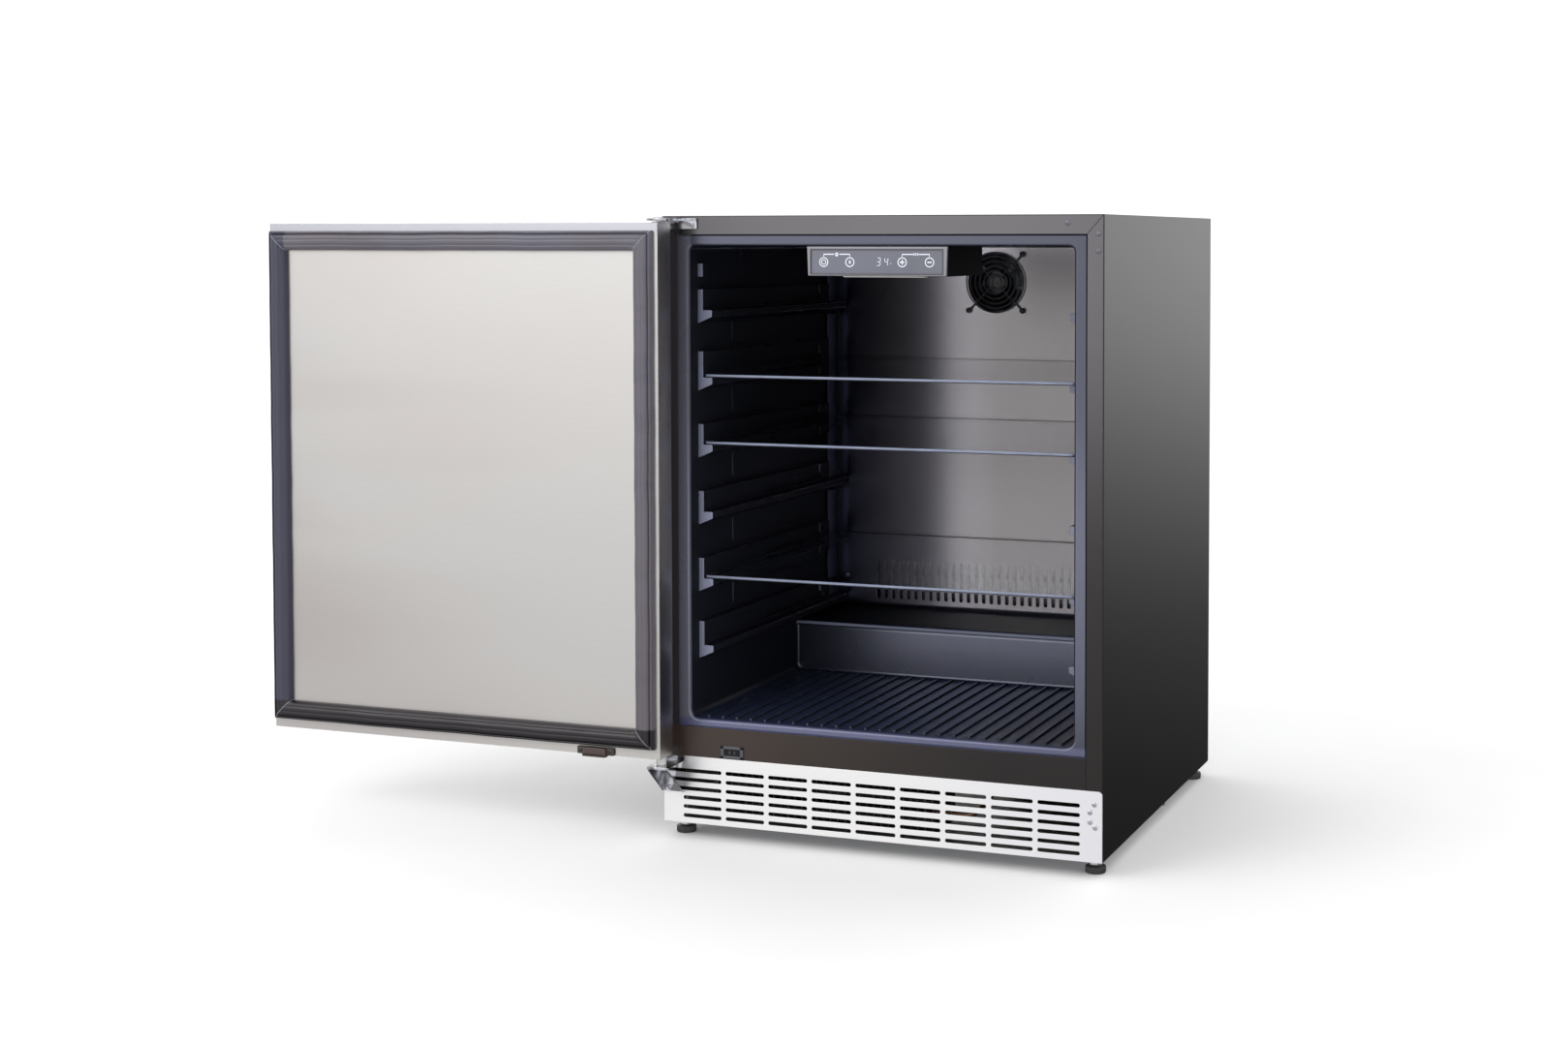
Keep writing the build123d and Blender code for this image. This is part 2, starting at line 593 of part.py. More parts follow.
EVAPORATOR_BACK = CAVITY_BACK - 7.5
TUBE_RADIUS = 3.0
SUCTION_Y = SERVICE_COVER_Y - 10
TUBE_ROUTES = [
    [
        (COMPRESSOR_X - 30, COMPRESSOR_Y - 40, BASE + 50),
        (COMPRESSOR_X - 30, REAR_BAY_FRONT + 10, BASE + 50),
        (COMPRESSOR_X - 30, FRONT + 90, BASE + 20),
        (CONDENSER_X[1], FRONT + 90, BASE + 20),
    ],
    [
        (CONDENSER_X[1], FRONT + 35, BASE + 80),
        (CONDENSER_X[1] + 15, FRONT + 35, BASE + 80),
        (CONDENSER_X[1] + 15, FRONT + 300, BASE + 80),
        (DRIER_X, FRONT + 350, DRIER_Z),
        (DRIER_X, DRIER_Y[0], DRIER_Z),
    ],
    [
        (DRIER_X, DRIER_Y[1], DRIER_Z),
        (DRIER_X, SUCTION_Y, DRIER_Z),
        (DRIER_X, SUCTION_Y, BASE + 400),
        (DRIER_X, EVAPORATOR_BACK, BASE + 400),
    ],
    [
        (DRIER_X + 40, EVAPORATOR_BACK, BASE + 430),
        (DRIER_X + 40, SUCTION_Y, BASE + 430),
        (DRIER_X + 40, SUCTION_Y, BASE + 35),
        (COMPRESSOR_X, SUCTION_Y, BASE + 35),
        (COMPRESSOR_X, COMPRESSOR_Y + 40, BASE + 50),
    ],
]
with BuildPart() as refrigerant_tubing:
    for points in TUBE_ROUTES:
        with BuildLine() as route:
            FilletPolyline(*points, radius=8)
        with BuildSketch(Plane(origin=route.line @ 0, z_dir=route.line % 0)):
            Circle(TUBE_RADIUS)
        sweep(path=route.line)
    add(compressor.part, mode=Mode.SUBTRACT)
save(refrigerant_tubing, "refrigerant_tubing")

with BuildPart() as liner_cut:
    add(liner.part)
    add(refrigerant_tubing.part, mode=Mode.SUBTRACT)
save(liner_cut, "liner")

with BuildPart() as insulation_foam:
    block((-CASE_HALF, CASE_HALF), (FLANGE_BACK, BACK - 2 * SHEET), (FRONT_BAY_TOP, TOP - SHEET))
    rear_bay_z = (FRONT_BAY_TOP, REAR_BAY_TOP)
    block((-CASE_HALF, CASE_HALF), (REAR_BAY_FRONT, BACK), rear_bay_z, mode=Mode.SUBTRACT)
    add(liner_shell, mode=Mode.SUBTRACT)
    block((-collar_half, collar_half), (FLANGE_BACK, COLLAR_BACK), collar_z, mode=Mode.SUBTRACT)
    post(COMPRESSOR_X, DRAIN_Y, 7, REAR_BAY_TOP, HUMP_TOP, mode=Mode.SUBTRACT)
    add(refrigerant_tubing.part, mode=Mode.SUBTRACT)
save(insulation_foam, "insulation_foam")

with BuildPart() as cord_gland:
    gland_seat = SERVICE_COVER_Y + SHEET
    rod(GLAND_X, GLAND_Z, 8, SERVICE_COVER_Y - 6, gland_seat)
    rod(GLAND_X, GLAND_Z, 12, gland_seat, gland_seat + 3)
    rod(GLAND_X, GLAND_Z, 7.5, gland_seat + 3, gland_seat + 10)
    rod(GLAND_X, GLAND_Z, GLAND_BORE, SERVICE_COVER_Y - 6, gland_seat + 10, mode=Mode.SUBTRACT)
save(cord_gland, "cord_gland")

for name, (x, y) in FOOT_PLACES.items():
    with BuildPart() as foot:
        post(x, y, FOOT_RADIUS, 0, 9)
        fillet(foot.edges().group_by(Axis.Z)[-1], 2)
        chamfer(foot.edges().group_by(Axis.Z)[0], 0.8)
        post(x, y, 9, 9, PAN_BOTTOM - SEAM)
        post(x, y, FOOT_SHAFT, PAN_BOTTOM - SEAM, BASE + 32)
    save(foot, name)


# --- Fans -------------------------------------------------------------------------------
def build_fan(prefix, x, y, z):
    """A square axial fan whose air side faces the front: a frame and a rotor on a shaft."""
    back = y + FAN_DEPTH
    with BuildPart() as fan_frame:
        with BuildSketch(facing(y)):
            with Locations((x, z)):
                RectangleRounded(FAN_SIZE, FAN_SIZE, 5)
                Circle(FAN_BORE, mode=Mode.SUBTRACT)
                with GridLocations(FAN_HOLE_PITCH, FAN_HOLE_PITCH, 2, 2):
                    Circle(GUARD_SCREW_HOLE, mode=Mode.SUBTRACT)
        extrude(amount=-FAN_DEPTH)
        with BuildSketch(facing(back)):
            with Locations((x, z)):
                Circle(16)
                with PolarLocations(FAN_BORE / 2 + 3, 4, start_angle=45):
                    Rectangle(FAN_BORE, 4)
                Circle(FAN_SHAFT + FAN_CLEARANCE, mode=Mode.SUBTRACT)
        extrude(amount=2.5)
    save(fan_frame, f"{prefix}_fan_frame")

    with BuildPart() as fan_rotor:
        with Locations(Location((x, y + FAN_DEPTH / 2 - 1, z), (90, 0, 0))):
            Cylinder(17, FAN_DEPTH - 7)
            with PolarLocations(29, 7):
                Box(25, 17, 1.4, rotation=(32, 0, 0))
        rod(x, z, FAN_SHAFT, y + FAN_DEPTH / 2, back)
    save(fan_rotor, f"{prefix}_fan_rotor")


build_fan("evaporator", FAN_CENTRE_X, COVER_FRONT + COVER_THICKNESS, FAN_CENTRE_Z)
build_fan("condenser", CONDENSER_FAN_X, CONDENSER_FAN_Y, CONDENSER_FAN_Z)

# --- Evaporator -------------------------------------------------------------------------
GUARD_HOLES = [
    (FAN_CENTRE_X + i * FAN_HOLE_PITCH / 2, FAN_CENTRE_Z + j * FAN_HOLE_PITCH / 2)
    for i in (-1, 1)
    for j in (-1, 1)
]

with BuildPart() as evaporator_cover:
    cover_y = (COVER_FLANGE_FRONT, COVER_FRONT + COVER_THICKNESS)
    block((-COVER_HALF, COVER_HALF), cover_y, (COVER_BOTTOM, COVER_TOP))
    inner_half = COVER_HALF - COVER_THICKNESS
    with BuildSketch(Plane.XY.offset(COVER_BOTTOM)) as tray_opening:
        with Locations((0, (COVER_FLANGE_FRONT + COVER_FRONT) / 2)):
            Rectangle(2 * inner_half, COVER_FRONT - COVER_FLANGE_FRONT)
        fillet(tray_opening.vertices().group_by(Axis.Y)[-1], 3)
    extrude(amount=COVER_TOP - COVER_BOTTOM, mode=Mode.SUBTRACT)

    # The flanges are notched for the ledges and stand a hair off the plate.
    for side in (-1, 1):
        flange_x = sorted((side * (COVER_HALF + 1), side * (inner_half - 4)))
        for ledge in LEDGES:
            notch_z = (ledge - RAIL_HEEL - 1, ledge + 1)
            block(flange_x, (COVER_FLANGE_FRONT, RAIL_BACK + 0.2), notch_z, mode=Mode.SUBTRACT)
        slit_y = (COVER_FRONT - 0.3, COVER_FRONT)
        block(flange_x, slit_y, (COVER_BOTTOM, COVER_TOP), mode=Mode.SUBTRACT)

    with BuildSketch(facing(COVER_FRONT)):
        with Locations((0, INTAKE_BOTTOM + INTAKE_HEIGHT / 2)):
            with GridLocations(INTAKE_PITCH, 1, INTAKE_SLOTS, 1):
                SlotOverall(INTAKE_HEIGHT, INTAKE_WIDTH, rotation=90)
        with Locations((FAN_CENTRE_X, FAN_CENTRE_Z)):
            Circle(FAN_BORE - 1)
    extrude(amount=-COVER_THICKNESS, mode=Mode.SUBTRACT)
    drill(GUARD_HOLES, COVER_FRONT, COVER_FRONT + COVER_THICKNESS, GUARD_SCREW_HOLE)
    drill(COVER_SCREWS, COVER_FRONT, COVER_FRONT + COVER_THICKNESS)
save(evaporator_cover, "evaporator_cover")

with BuildPart() as cover_screws:
    for x, z in COVER_SCREWS:
        screw(x, z, COVER_FRONT)
save(cover_screws, "cover_screws")

with BuildPart() as evaporator_coil:
    block((-225, 225), (EVAPORATOR_BACK - 1.5, EVAPORATOR_BACK), (BASE + 235, BASE + 630))
    for row in range(9):
        z = BASE + 260 + row * 42
        with Locations(Location((0, EVAPORATOR_BACK - 4, z), (0, 90, 0))):
            Cylinder(3.5, 420)
    for row in range(8):
        x = 210 if row % 2 else -210
        post(x, EVAPORATOR_BACK - 4, 3.5, BASE + 256.5 + row * 42, BASE + 305.5 + row * 42)
save(evaporator_coil, "evaporator_coil")

GUARD_Y = COVER_FRONT - 5
with BuildPart() as fan_guard:
    for radius in GUARD_RINGS:
        with Locations(Location((FAN_CENTRE_X, GUARD_Y, FAN_CENTRE_Z), (90, 0, 0))):
            Torus(radius, GUARD_WIRE)
    diagonal = FAN_HOLE_PITCH / 2 ** 0.5
    arm_start = GUARD_RINGS[0] - 1
    with Locations(Location((FAN_CENTRE_X, GUARD_Y + 1.4, FAN_CENTRE_Z), (90, 0, 0))):
        with PolarLocations((arm_start + diagonal - 3) / 2, 4, start_angle=45):
            Cylinder(GUARD_WIRE, diagonal - 3 - arm_start, rotation=(0, 90, 0))
    for x, z in GUARD_HOLES:
        rod(x, z, 4.2, GUARD_Y + 0.4, COVER_FRONT)
    for x, z in GUARD_HOLES:
        rod(x, z, GUARD_SCREW_HOLE, GUARD_Y + 0.4, COVER_FRONT, mode=Mode.SUBTRACT)
save(fan_guard, "fan_guard")

with BuildPart() as fan_guard_screws:
    for x, z in GUARD_HOLES:
        rod(x, z, GUARD_SCREW_RADIUS, GUARD_Y + 0.4, COVER_FRONT + 12)
        rod(x, z, 3.8, GUARD_Y - 1.6, GUARD_Y + 0.4)
    fillet(fan_guard_screws.edges().filter_by(GeomType.CIRCLE).group_by(Axis.Y)[0], 1)
save(fan_guard_screws, "fan_guard_screws")

# --- Control panel ----------------------------------------------------------------------
BEZEL_DEPTH = 5.0
WINDOW_HALF = PANEL_HALF - 6.5
WINDOW_BOTTOM = PANEL_BOTTOM + 3.5
WINDOW_TOP = PANEL_TOP - 5
with BuildPart() as control_bezel:
    with BuildSketch(facing(PANEL_FRONT + BEZEL_DEPTH)):
        with BuildLine():
            Polyline(
                (-PANEL_HALF, PANEL_TOP),
                (PANEL_HALF, PANEL_TOP),
                (PANEL_HALF - 1.5, PANEL_BOTTOM),
                (-PANEL_HALF + 1.5, PANEL_BOTTOM),
                close=True,
            )
        make_face()
    extrude(amount=BEZEL_DEPTH)
    chamfer(control_bezel.faces().sort_by(Axis.Y)[0].edges(), 1)
    bezel_y = (PANEL_FRONT, PANEL_FRONT + BEZEL_DEPTH)
    window_z = (WINDOW_BOTTOM, WINDOW_TOP)
    block((-WINDOW_HALF, WINDOW_HALF), bezel_y, window_z, mode=Mode.SUBTRACT)
save(control_bezel, "control_bezel")

with BuildPart() as control_glass:
    block((-WINDOW_HALF, WINDOW_HALF), (PANEL_FRONT + 1, PANEL_FRONT + 3), (WINDOW_BOTTOM, WINDOW_TOP))
save(control_glass, "control_glass")

with BuildPart() as control_board:
    block(
        (-WINDOW_HALF + 4, WINDOW_HALF - 4),
        (PANEL_FRONT + 8, PANEL_FRONT + 9.6),
        (WINDOW_BOTTOM + 2, WINDOW_TOP - 2),
    )
    block((-30, -6), (PANEL_FRONT + 9.6, PANEL_FRONT + 22), (WINDOW_BOTTOM + 6, WINDOW_TOP - 6))
save(control_board, "control_board")

HOUSING_HALF = PANEL_HALF - 2
HOUSING_FRONT = PANEL_FRONT + BEZEL_DEPTH
LENS_HALF = 55.0
LENS_Y = (HOUSING_FRONT + 20, HOUSING_FRONT + 34)
HOUSING_Z = (PANEL_BOTTOM, PANEL_TOP)
HOUSING_BACK = HOUSING_FRONT + HOUSING_DEPTH
with BuildPart() as control_housing:
    block((-HOUSING_HALF + 4, HOUSING_HALF - 4), (HOUSING_FRONT, HOUSING_BACK), HOUSING_Z)
    fillet(control_housing.edges().filter_by(Axis.Z).group_by(Axis.Y)[-1], 4)
    block((-HOUSING_HALF, HOUSING_HALF), (HOUSING_FRONT, HOUSING_FRONT + 12), HOUSING_Z)
    hollow_z = (PANEL_BOTTOM + 2, PANEL_TOP - 2)
    hollow_x = (-HOUSING_HALF + 6, HOUSING_HALF - 6)
    block(hollow_x, (HOUSING_FRONT, HOUSING_BACK - 12), hollow_z, mode=Mode.SUBTRACT)
    block((-LENS_HALF, LENS_HALF), LENS_Y, (PANEL_BOTTOM, PANEL_BOTTOM + 2), mode=Mode.SUBTRACT)
save(control_housing, "control_housing")

with BuildPart() as led_lens:
    block((-LENS_HALF, LENS_HALF), LENS_Y, (PANEL_BOTTOM - 1.5, PANEL_BOTTOM + 2))
    fillet(led_lens.edges().group_by(Axis.Z)[0], 1.2)
save(led_lens, "led_lens")

# --- Glass shelves ----------------------------------------------------------------------
GLASS_HALF = CAVITY_HALF - RAIL_BAR - GLASS_CLEARANCE
SHELF_LEVELS = {"glass_shelf_lower": 1, "glass_shelf_middle": 3, "glass_shelf_upper": 4}
for name, level in SHELF_LEVELS.items():
    bottom = LEDGES[level] + SHELF_LIFT
    with BuildPart() as glass_shelf:
        with BuildSketch(Plane.XY.offset(bottom)):
            with Locations((0, GLASS_FRONT + GLASS_DEPTH / 2)):
                RectangleRounded(2 * GLASS_HALF, GLASS_DEPTH, 4)
        extrude(amount=GLASS_THICKNESS)
        chamfer(glass_shelf.faces().sort_by(Axis.Z)[-1].edges(), 0.6)
    save(glass_shelf, name)

# --- Hinges -----------------------------------------------------------------------------
PLATE_FRONT = HINGE_Y - 16
TOP_PLATE_TOP = TOP_PLATE_BOTTOM + TOP_PLATE_THICKNESS
with BuildPart() as hinge_bracket_top:
    block((LEFT, LEFT + 30), (PLATE_FRONT, FRONT), (TOP_PLATE_BOTTOM, TOP_PLATE_TOP))
    block((LEFT + 4, LEFT + 51.5), (FRONT - BRACKET_SHEET, FRONT), (BASE + 775, TOP_PLATE_TOP))
    front_corners = hinge_bracket_top.edges().filter_by(Axis.Z).group_by(Axis.Y)[0]
    fillet(front_corners, 10)
    post(HINGE_X, HINGE_Y, PIN_RADIUS, TOP_PLATE_BOTTOM, TOP_PLATE_TOP, mode=Mode.SUBTRACT)
    drill(TOP_HINGE_SCREWS, FRONT - BRACKET_SHEET, FRONT)
save(hinge_bracket_top, "hinge_bracket_top")

KICK_FACE = FRONT - KICK_THICKNESS
BOTTOM_PLATE_TOP = BOTTOM_PLATE_BOTTOM + BOTTOM_PLATE_THICKNESS
BRACKET_RIGHT = LEFT + 31
BRACKET_FOOT = BASE + 41
with BuildPart() as hinge_bracket_bottom:
    block((LEFT, BRACKET_RIGHT), (KICK_FACE - BRACKET_SHEET, KICK_FACE), (BRACKET_FOOT, KICK_TOP))
    block((LEFT, BRACKET_RIGHT), (PLATE_FRONT, KICK_FACE), (BOTTOM_PLATE_BOTTOM, BOTTOM_PLATE_TOP))
    for x in (LEFT, BRACKET_RIGHT - BRACKET_SHEET):
        with BuildSketch(Plane.YZ.offset(x)):
            with BuildLine():
                Polyline(
                    (KICK_FACE, BRACKET_FOOT),
                    (KICK_FACE, BOTTOM_PLATE_TOP),
                    (PLATE_FRONT + 2, BOTTOM_PLATE_TOP),
                    (PLATE_FRONT + 2, BOTTOM_PLATE_BOTTOM - 2),
                    (KICK_FACE - 5, BRACKET_FOOT),
                    close=True,
                )
            make_face()
        extrude(amount=BRACKET_SHEET)
    post(HINGE_X, HINGE_Y, PIN_RADIUS, BOTTOM_PLATE_BOTTOM, BOTTOM_PLATE_TOP, mode=Mode.SUBTRACT)
    drill(BOTTOM_HINGE_SCREWS, KICK_FACE - BRACKET_SHEET, KICK_FACE)
save(hinge_bracket_bottom, "hinge_bracket_bottom")

BUSH_GAP = 0.3
with BuildPart() as hinge_pin_top:
    post(HINGE_X, HINGE_Y, PIN_RADIUS, DOOR_TOP - 24, TOP_PLATE_TOP)
    post(HINGE_X, HINGE_Y, 7, TOP_PLATE_TOP, TOP_PLATE_TOP + 2)
save(hinge_pin_top, "hinge_pin_top")

with BuildPart() as hinge_pin_bottom:
    post(HINGE_X, HINGE_Y, PIN_RADIUS, BOTTOM_PLATE_BOTTOM, DOOR_BOTTOM + 24)
    post(HINGE_X, HINGE_Y, 6.5, BOTTOM_PLATE_BOTTOM - 3, BOTTOM_PLATE_BOTTOM)
save(hinge_pin_bottom, "hinge_pin_bottom")

with BuildPart() as hinge_screws:
    for x, z in TOP_HINGE_SCREWS:
        screw(x, z, FRONT - BRACKET_SHEET)
    for x, z in BOTTOM_HINGE_SCREWS:
        screw(x, z, KICK_FACE - BRACKET_SHEET)
save(hinge_screws, "hinge_screws")

with BuildPart() as reed_switch:
    block((LEFT + 82, LEFT + 114), (FRONT - 2, FRONT), (BASE + 89, BASE + 105))
    fillet(reed_switch.edges().filter_by(Axis.Y), 2)
    block((LEFT + 90, LEFT + 106), (FRONT - 2, FRONT - 1), (BASE + 94, BASE + 100), mode=Mode.SUBTRACT)
save(reed_switch, "reed_switch")

# --- Door -------------------------------------------------------------------------------
PAN_X = (DOOR_FREE_EDGE + DOOR_SHEET, DOOR_HINGE_EDGE - DOOR_SHEET)
PAN_Z = (DOOR_BOTTOM + DOOR_SHEET, DOOR_TOP - DOOR_SHEET)
INNER_PANEL_BACK = DOOR_INNER_FACE + DOOR_SHEET
OUTER_SKIN_FRONT = DOOR_OUTER_FACE - DOOR_SHEET
BUSH_TOP = DOOR_TOP - 26
BUSH_BOTTOM = DOOR_BOTTOM + 26

with BuildPart() as door_outer_panel:
    door_z = (DOOR_BOTTOM, DOOR_TOP)
    block((DOOR_FREE_EDGE, DOOR_HINGE_EDGE), (DOOR_INNER_FACE, DOOR_OUTER_FACE), door_z)
    fillet(door_outer_panel.edges().filter_by(Axis.Z).group_by(Axis.Y)[-1], 3)
    block(PAN_X, (DOOR_INNER_FACE, OUTER_SKIN_FRONT - 2), PAN_Z, mode=Mode.SUBTRACT)
    block((PAN_X[0] + 2, PAN_X[1] - 2), (DOOR_INNER_FACE, OUTER_SKIN_FRONT), PAN_Z, mode=Mode.SUBTRACT)
    post(HINGE_X, HINGE_Y, BUSH_RADIUS, DOOR_BOTTOM, DOOR_BOTTOM + DOOR_SHEET, mode=Mode.SUBTRACT)
    post(HINGE_X, HINGE_Y, BUSH_RADIUS, DOOR_TOP - DOOR_SHEET, DOOR_TOP, mode=Mode.SUBTRACT)
save(door_outer_panel, "door_outer_panel")

with BuildPart() as door_inner_panel:
    block(PAN_X, (DOOR_INNER_FACE, INNER_PANEL_BACK), PAN_Z)
save(door_inner_panel, "door_inner_panel")

with BuildPart() as door_foam:
    block(PAN_X, (INNER_PANEL_BACK, OUTER_SKIN_FRONT), PAN_Z)
    add(door_outer_panel.part, mode=Mode.SUBTRACT)
    post(HINGE_X, HINGE_Y, BUSH_RADIUS, PAN_Z[0], BUSH_BOTTOM, mode=Mode.SUBTRACT)
    post(HINGE_X, HINGE_Y, BUSH_RADIUS, BUSH_TOP, PAN_Z[1], mode=Mode.SUBTRACT)
save(door_foam, "door_foam")

with BuildPart() as door_bushings:
    post(HINGE_X, HINGE_Y, BUSH_RADIUS, BUSH_TOP, DOOR_TOP)
    post(HINGE_X, HINGE_Y, 9, DOOR_TOP, DOOR_TOP + 1.5)
    post(HINGE_X, HINGE_Y, BUSH_RADIUS, DOOR_BOTTOM, BUSH_BOTTOM)
    post(HINGE_X, HINGE_Y, 6.5, BOTTOM_PLATE_TOP + BUSH_GAP, DOOR_BOTTOM)
    bore = PIN_RADIUS + PIN_CLEARANCE
    post(HINGE_X, HINGE_Y, bore, BOTTOM_PLATE_TOP, DOOR_TOP + 2, mode=Mode.SUBTRACT)
save(door_bushings, "door_bushings")

GASKET_X = (DOOR_FREE_EDGE + GASKET_FREE_MARGIN, DOOR_HINGE_EDGE - GASKET_HINGE_MARGIN)
GASKET_Z = (DOOR_BOTTOM + GASKET_BOTTOM_MARGIN, DOOR_TOP - GASKET_TOP_MARGIN)


def gasket_ring(inset, width, height):
    """A rectangular ring standing on the door's inner face."""
    size_x = GASKET_X[1] - GASKET_X[0] - 2 * inset
    size_z = GASKET_Z[1] - GASKET_Z[0] - 2 * inset
    with BuildSketch(facing(DOOR_INNER_FACE)) as ring:
        with Locations((sum(GASKET_X) / 2, sum(GASKET_Z) / 2)):
            Rectangle(size_x, size_z)
            Rectangle(size_x - 2 * width, size_z - 2 * width, mode=Mode.SUBTRACT)
    extrude(ring.sketch, amount=height)


with BuildPart() as door_gasket:
    gasket_ring(0, GASKET_WIDTH, 2.5)
    gasket_ring(0.5, 4.5, 8)
    gasket_ring(6, 13, GASKET_HEIGHT)
    gasket_ring(20.5, 4.5, 6)
save(door_gasket, "door_gasket")

with BuildPart() as handle_bar:
    post(HANDLE_X, HANDLE_Y, HANDLE_RADIUS, HANDLE_Z - HANDLE_LENGTH / 2, HANDLE_Z + HANDLE_LENGTH / 2)
    fillet(handle_bar.edges().filter_by(GeomType.CIRCLE), 2)
save(handle_bar, "handle_bar")

with BuildPart() as handle_posts:
    for side in (-1, 1):
        post_z = HANDLE_Z + side * HANDLE_POST_SPACING / 2
        rod(HANDLE_X, post_z, HANDLE_POST_RADIUS, DOOR_OUTER_FACE, HANDLE_Y)
    add(handle_bar.part, mode=Mode.SUBTRACT)
save(handle_posts, "handle_posts")

MAGNET_CENTRE_X = LEFT - 69.5
MAGNET_HEIGHT = 12.0
MAGNET_BOTTOM = DOOR_BOTTOM - 2
MAGNET_FRONT = DOOR_INNER_FACE - 8.5
EAR_FRONT = DOOR_INNER_FACE - 4
EAR_SCREWS = [(MAGNET_CENTRE_X + side * 22, MAGNET_BOTTOM + 7) for side in (-1, 1)]
with BuildPart() as door_magnet_block:
    body_z = (MAGNET_BOTTOM, MAGNET_BOTTOM + MAGNET_HEIGHT)
    ear_x = (MAGNET_CENTRE_X - 26.5, MAGNET_CENTRE_X + 26.5)
    block(ear_x, (EAR_FRONT, DOOR_INNER_FACE), (MAGNET_BOTTOM + 2, body_z[1]))
    fillet(door_magnet_block.edges().filter_by(Axis.Y), 4)
    block((MAGNET_CENTRE_X - 17, MAGNET_CENTRE_X + 17), (MAGNET_FRONT, DOOR_INNER_FACE), body_z)
    drill(EAR_SCREWS, EAR_FRONT, DOOR_INNER_FACE)
save(door_magnet_block, "door_magnet_block")

with BuildPart() as magnet_screws:
    for x, z in EAR_SCREWS:
        rod(x, z, SCREW_RADIUS, EAR_FRONT, DOOR_INNER_FACE)
        rod(x, z, 2.8, EAR_FRONT - 1.6, EAR_FRONT)
save(magnet_screws, "magnet_screws")
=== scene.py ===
import json
import math

import bmesh
import bpy
from mathutils import Matrix, Vector


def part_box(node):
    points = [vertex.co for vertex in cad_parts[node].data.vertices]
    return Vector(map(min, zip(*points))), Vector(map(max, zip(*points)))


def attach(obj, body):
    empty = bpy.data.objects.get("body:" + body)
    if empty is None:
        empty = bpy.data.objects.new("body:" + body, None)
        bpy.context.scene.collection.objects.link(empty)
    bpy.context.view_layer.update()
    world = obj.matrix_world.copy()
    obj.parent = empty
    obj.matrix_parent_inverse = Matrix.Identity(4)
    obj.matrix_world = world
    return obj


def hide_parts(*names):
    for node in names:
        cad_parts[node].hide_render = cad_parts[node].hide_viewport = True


# Undercounter refrigerator, door open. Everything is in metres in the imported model's frame:
# X from the hinge side to the latch side, Y from front to back, Z up.

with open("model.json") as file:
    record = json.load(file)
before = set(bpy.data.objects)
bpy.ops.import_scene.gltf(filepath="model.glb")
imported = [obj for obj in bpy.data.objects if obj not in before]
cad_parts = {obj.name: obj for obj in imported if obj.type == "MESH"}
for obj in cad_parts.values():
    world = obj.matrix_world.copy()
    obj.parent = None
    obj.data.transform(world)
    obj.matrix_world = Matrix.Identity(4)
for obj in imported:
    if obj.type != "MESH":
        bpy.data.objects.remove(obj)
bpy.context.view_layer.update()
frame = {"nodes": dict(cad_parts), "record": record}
nodes = frame["nodes"]
scene = bpy.context.scene
MM = 0.001
TURN = 2 * math.pi


# --- Mesh helpers -----------------------------------------------------------
def mesh_object(name, vertices, faces, smooth_angle=None):
    """A mesh object from lists, shaded smooth below the given angle in degrees."""
    data = bpy.data.meshes.new(name)
    data.from_pydata([tuple(v) for v in vertices], [], faces)
    data.update()
    piece = bpy.data.objects.new(name, data)
    scene.collection.objects.link(piece)
    if smooth_angle is not None:
        shade(piece, smooth_angle)
    return piece


def shade(piece, angle):
    """Smooth faces with sharp edges above an angle in degrees, and outward normals."""
    build = bmesh.new()
    build.from_mesh(piece.data)
    bmesh.ops.remove_doubles(build, verts=build.verts, dist=1e-7)
    bmesh.ops.recalc_face_normals(build, faces=build.faces)
    limit = math.radians(angle)
    for face in build.faces:
        face.smooth = True
    for edge in build.edges:
        edge.smooth = len(edge.link_faces) == 2 and edge.calc_face_angle() < limit
    build.to_mesh(piece.data)
    build.free()


def join(name, parts):
    """One object from several, keeping each one's material."""
    bpy.ops.object.select_all(action="DESELECT")
    for part in parts:
        part.select_set(True)
    bpy.context.view_layer.objects.active = parts[0]
    bpy.ops.object.join()
    parts[0].name = name
    parts[0].data.name = name
    return parts[0]


def ring_quads(rings, count, first=0):
    """The quads between successive closed rings of vertices, from a first vertex on."""
    faces = []
    for j in range(rings - 1):
        near = first + j * count
        far = near + count
        for i in range(count):
            k = (i + 1) % count
            faces.append((near + i, near + k, far + k, far + i))
    return faces


def lathe(name, profile, segments=48, radius_wave=None, angle=35):
    """A closed turned solid about Z from (radius, height) pairs; radius_wave changes it round."""
    vertices = []
    for radius, height in profile:
        for i in range(segments):
            turn = TURN * i / segments
            r = radius * (radius_wave(turn, height) if radius_wave else 1.0)
            vertices.append((r * math.cos(turn), r * math.sin(turn), height))
    rings = len(profile)
    faces = ring_quads(rings, segments)
    faces.append(tuple(range(segments))[::-1])
    faces.append(tuple(range((rings - 1) * segments, rings * segments)))
    return mesh_object(name, vertices, faces, angle)


def rounded_box(name, low, high, bevel, segments=3):
    """A box between two corners with rounded edges."""
    build = bmesh.new()
    bmesh.ops.create_cube(build, size=1.0)
    size = [high[i] - low[i] for i in range(3)]
    for vertex in build.verts:
        vertex.co = Vector([low[i] + (vertex.co[i] + 0.5) * size[i] for i in range(3)])
    bmesh.ops.bevel(build, geom=list(build.edges), offset=bevel, segments=segments,
                    profile=0.5, affect="EDGES")
    data = bpy.data.meshes.new(name)
    build.to_mesh(data)
    build.free()
    piece = bpy.data.objects.new(name, data)
    scene.collection.objects.link(piece)
    shade(piece, 40)
    return piece


def place(piece, x, y, z, facing_front=True):
    """Turns a piece modelled along +Z to point to the front or the back, and moves it."""
    turn = Matrix.Rotation(math.radians(90 if facing_front else -90), 4, "X")
    piece.data.transform(Matrix.Translation((x, y, z)) @ turn)
    return piece


def middle(low, high, axis):
    return (low[axis] + high[axis]) / 2


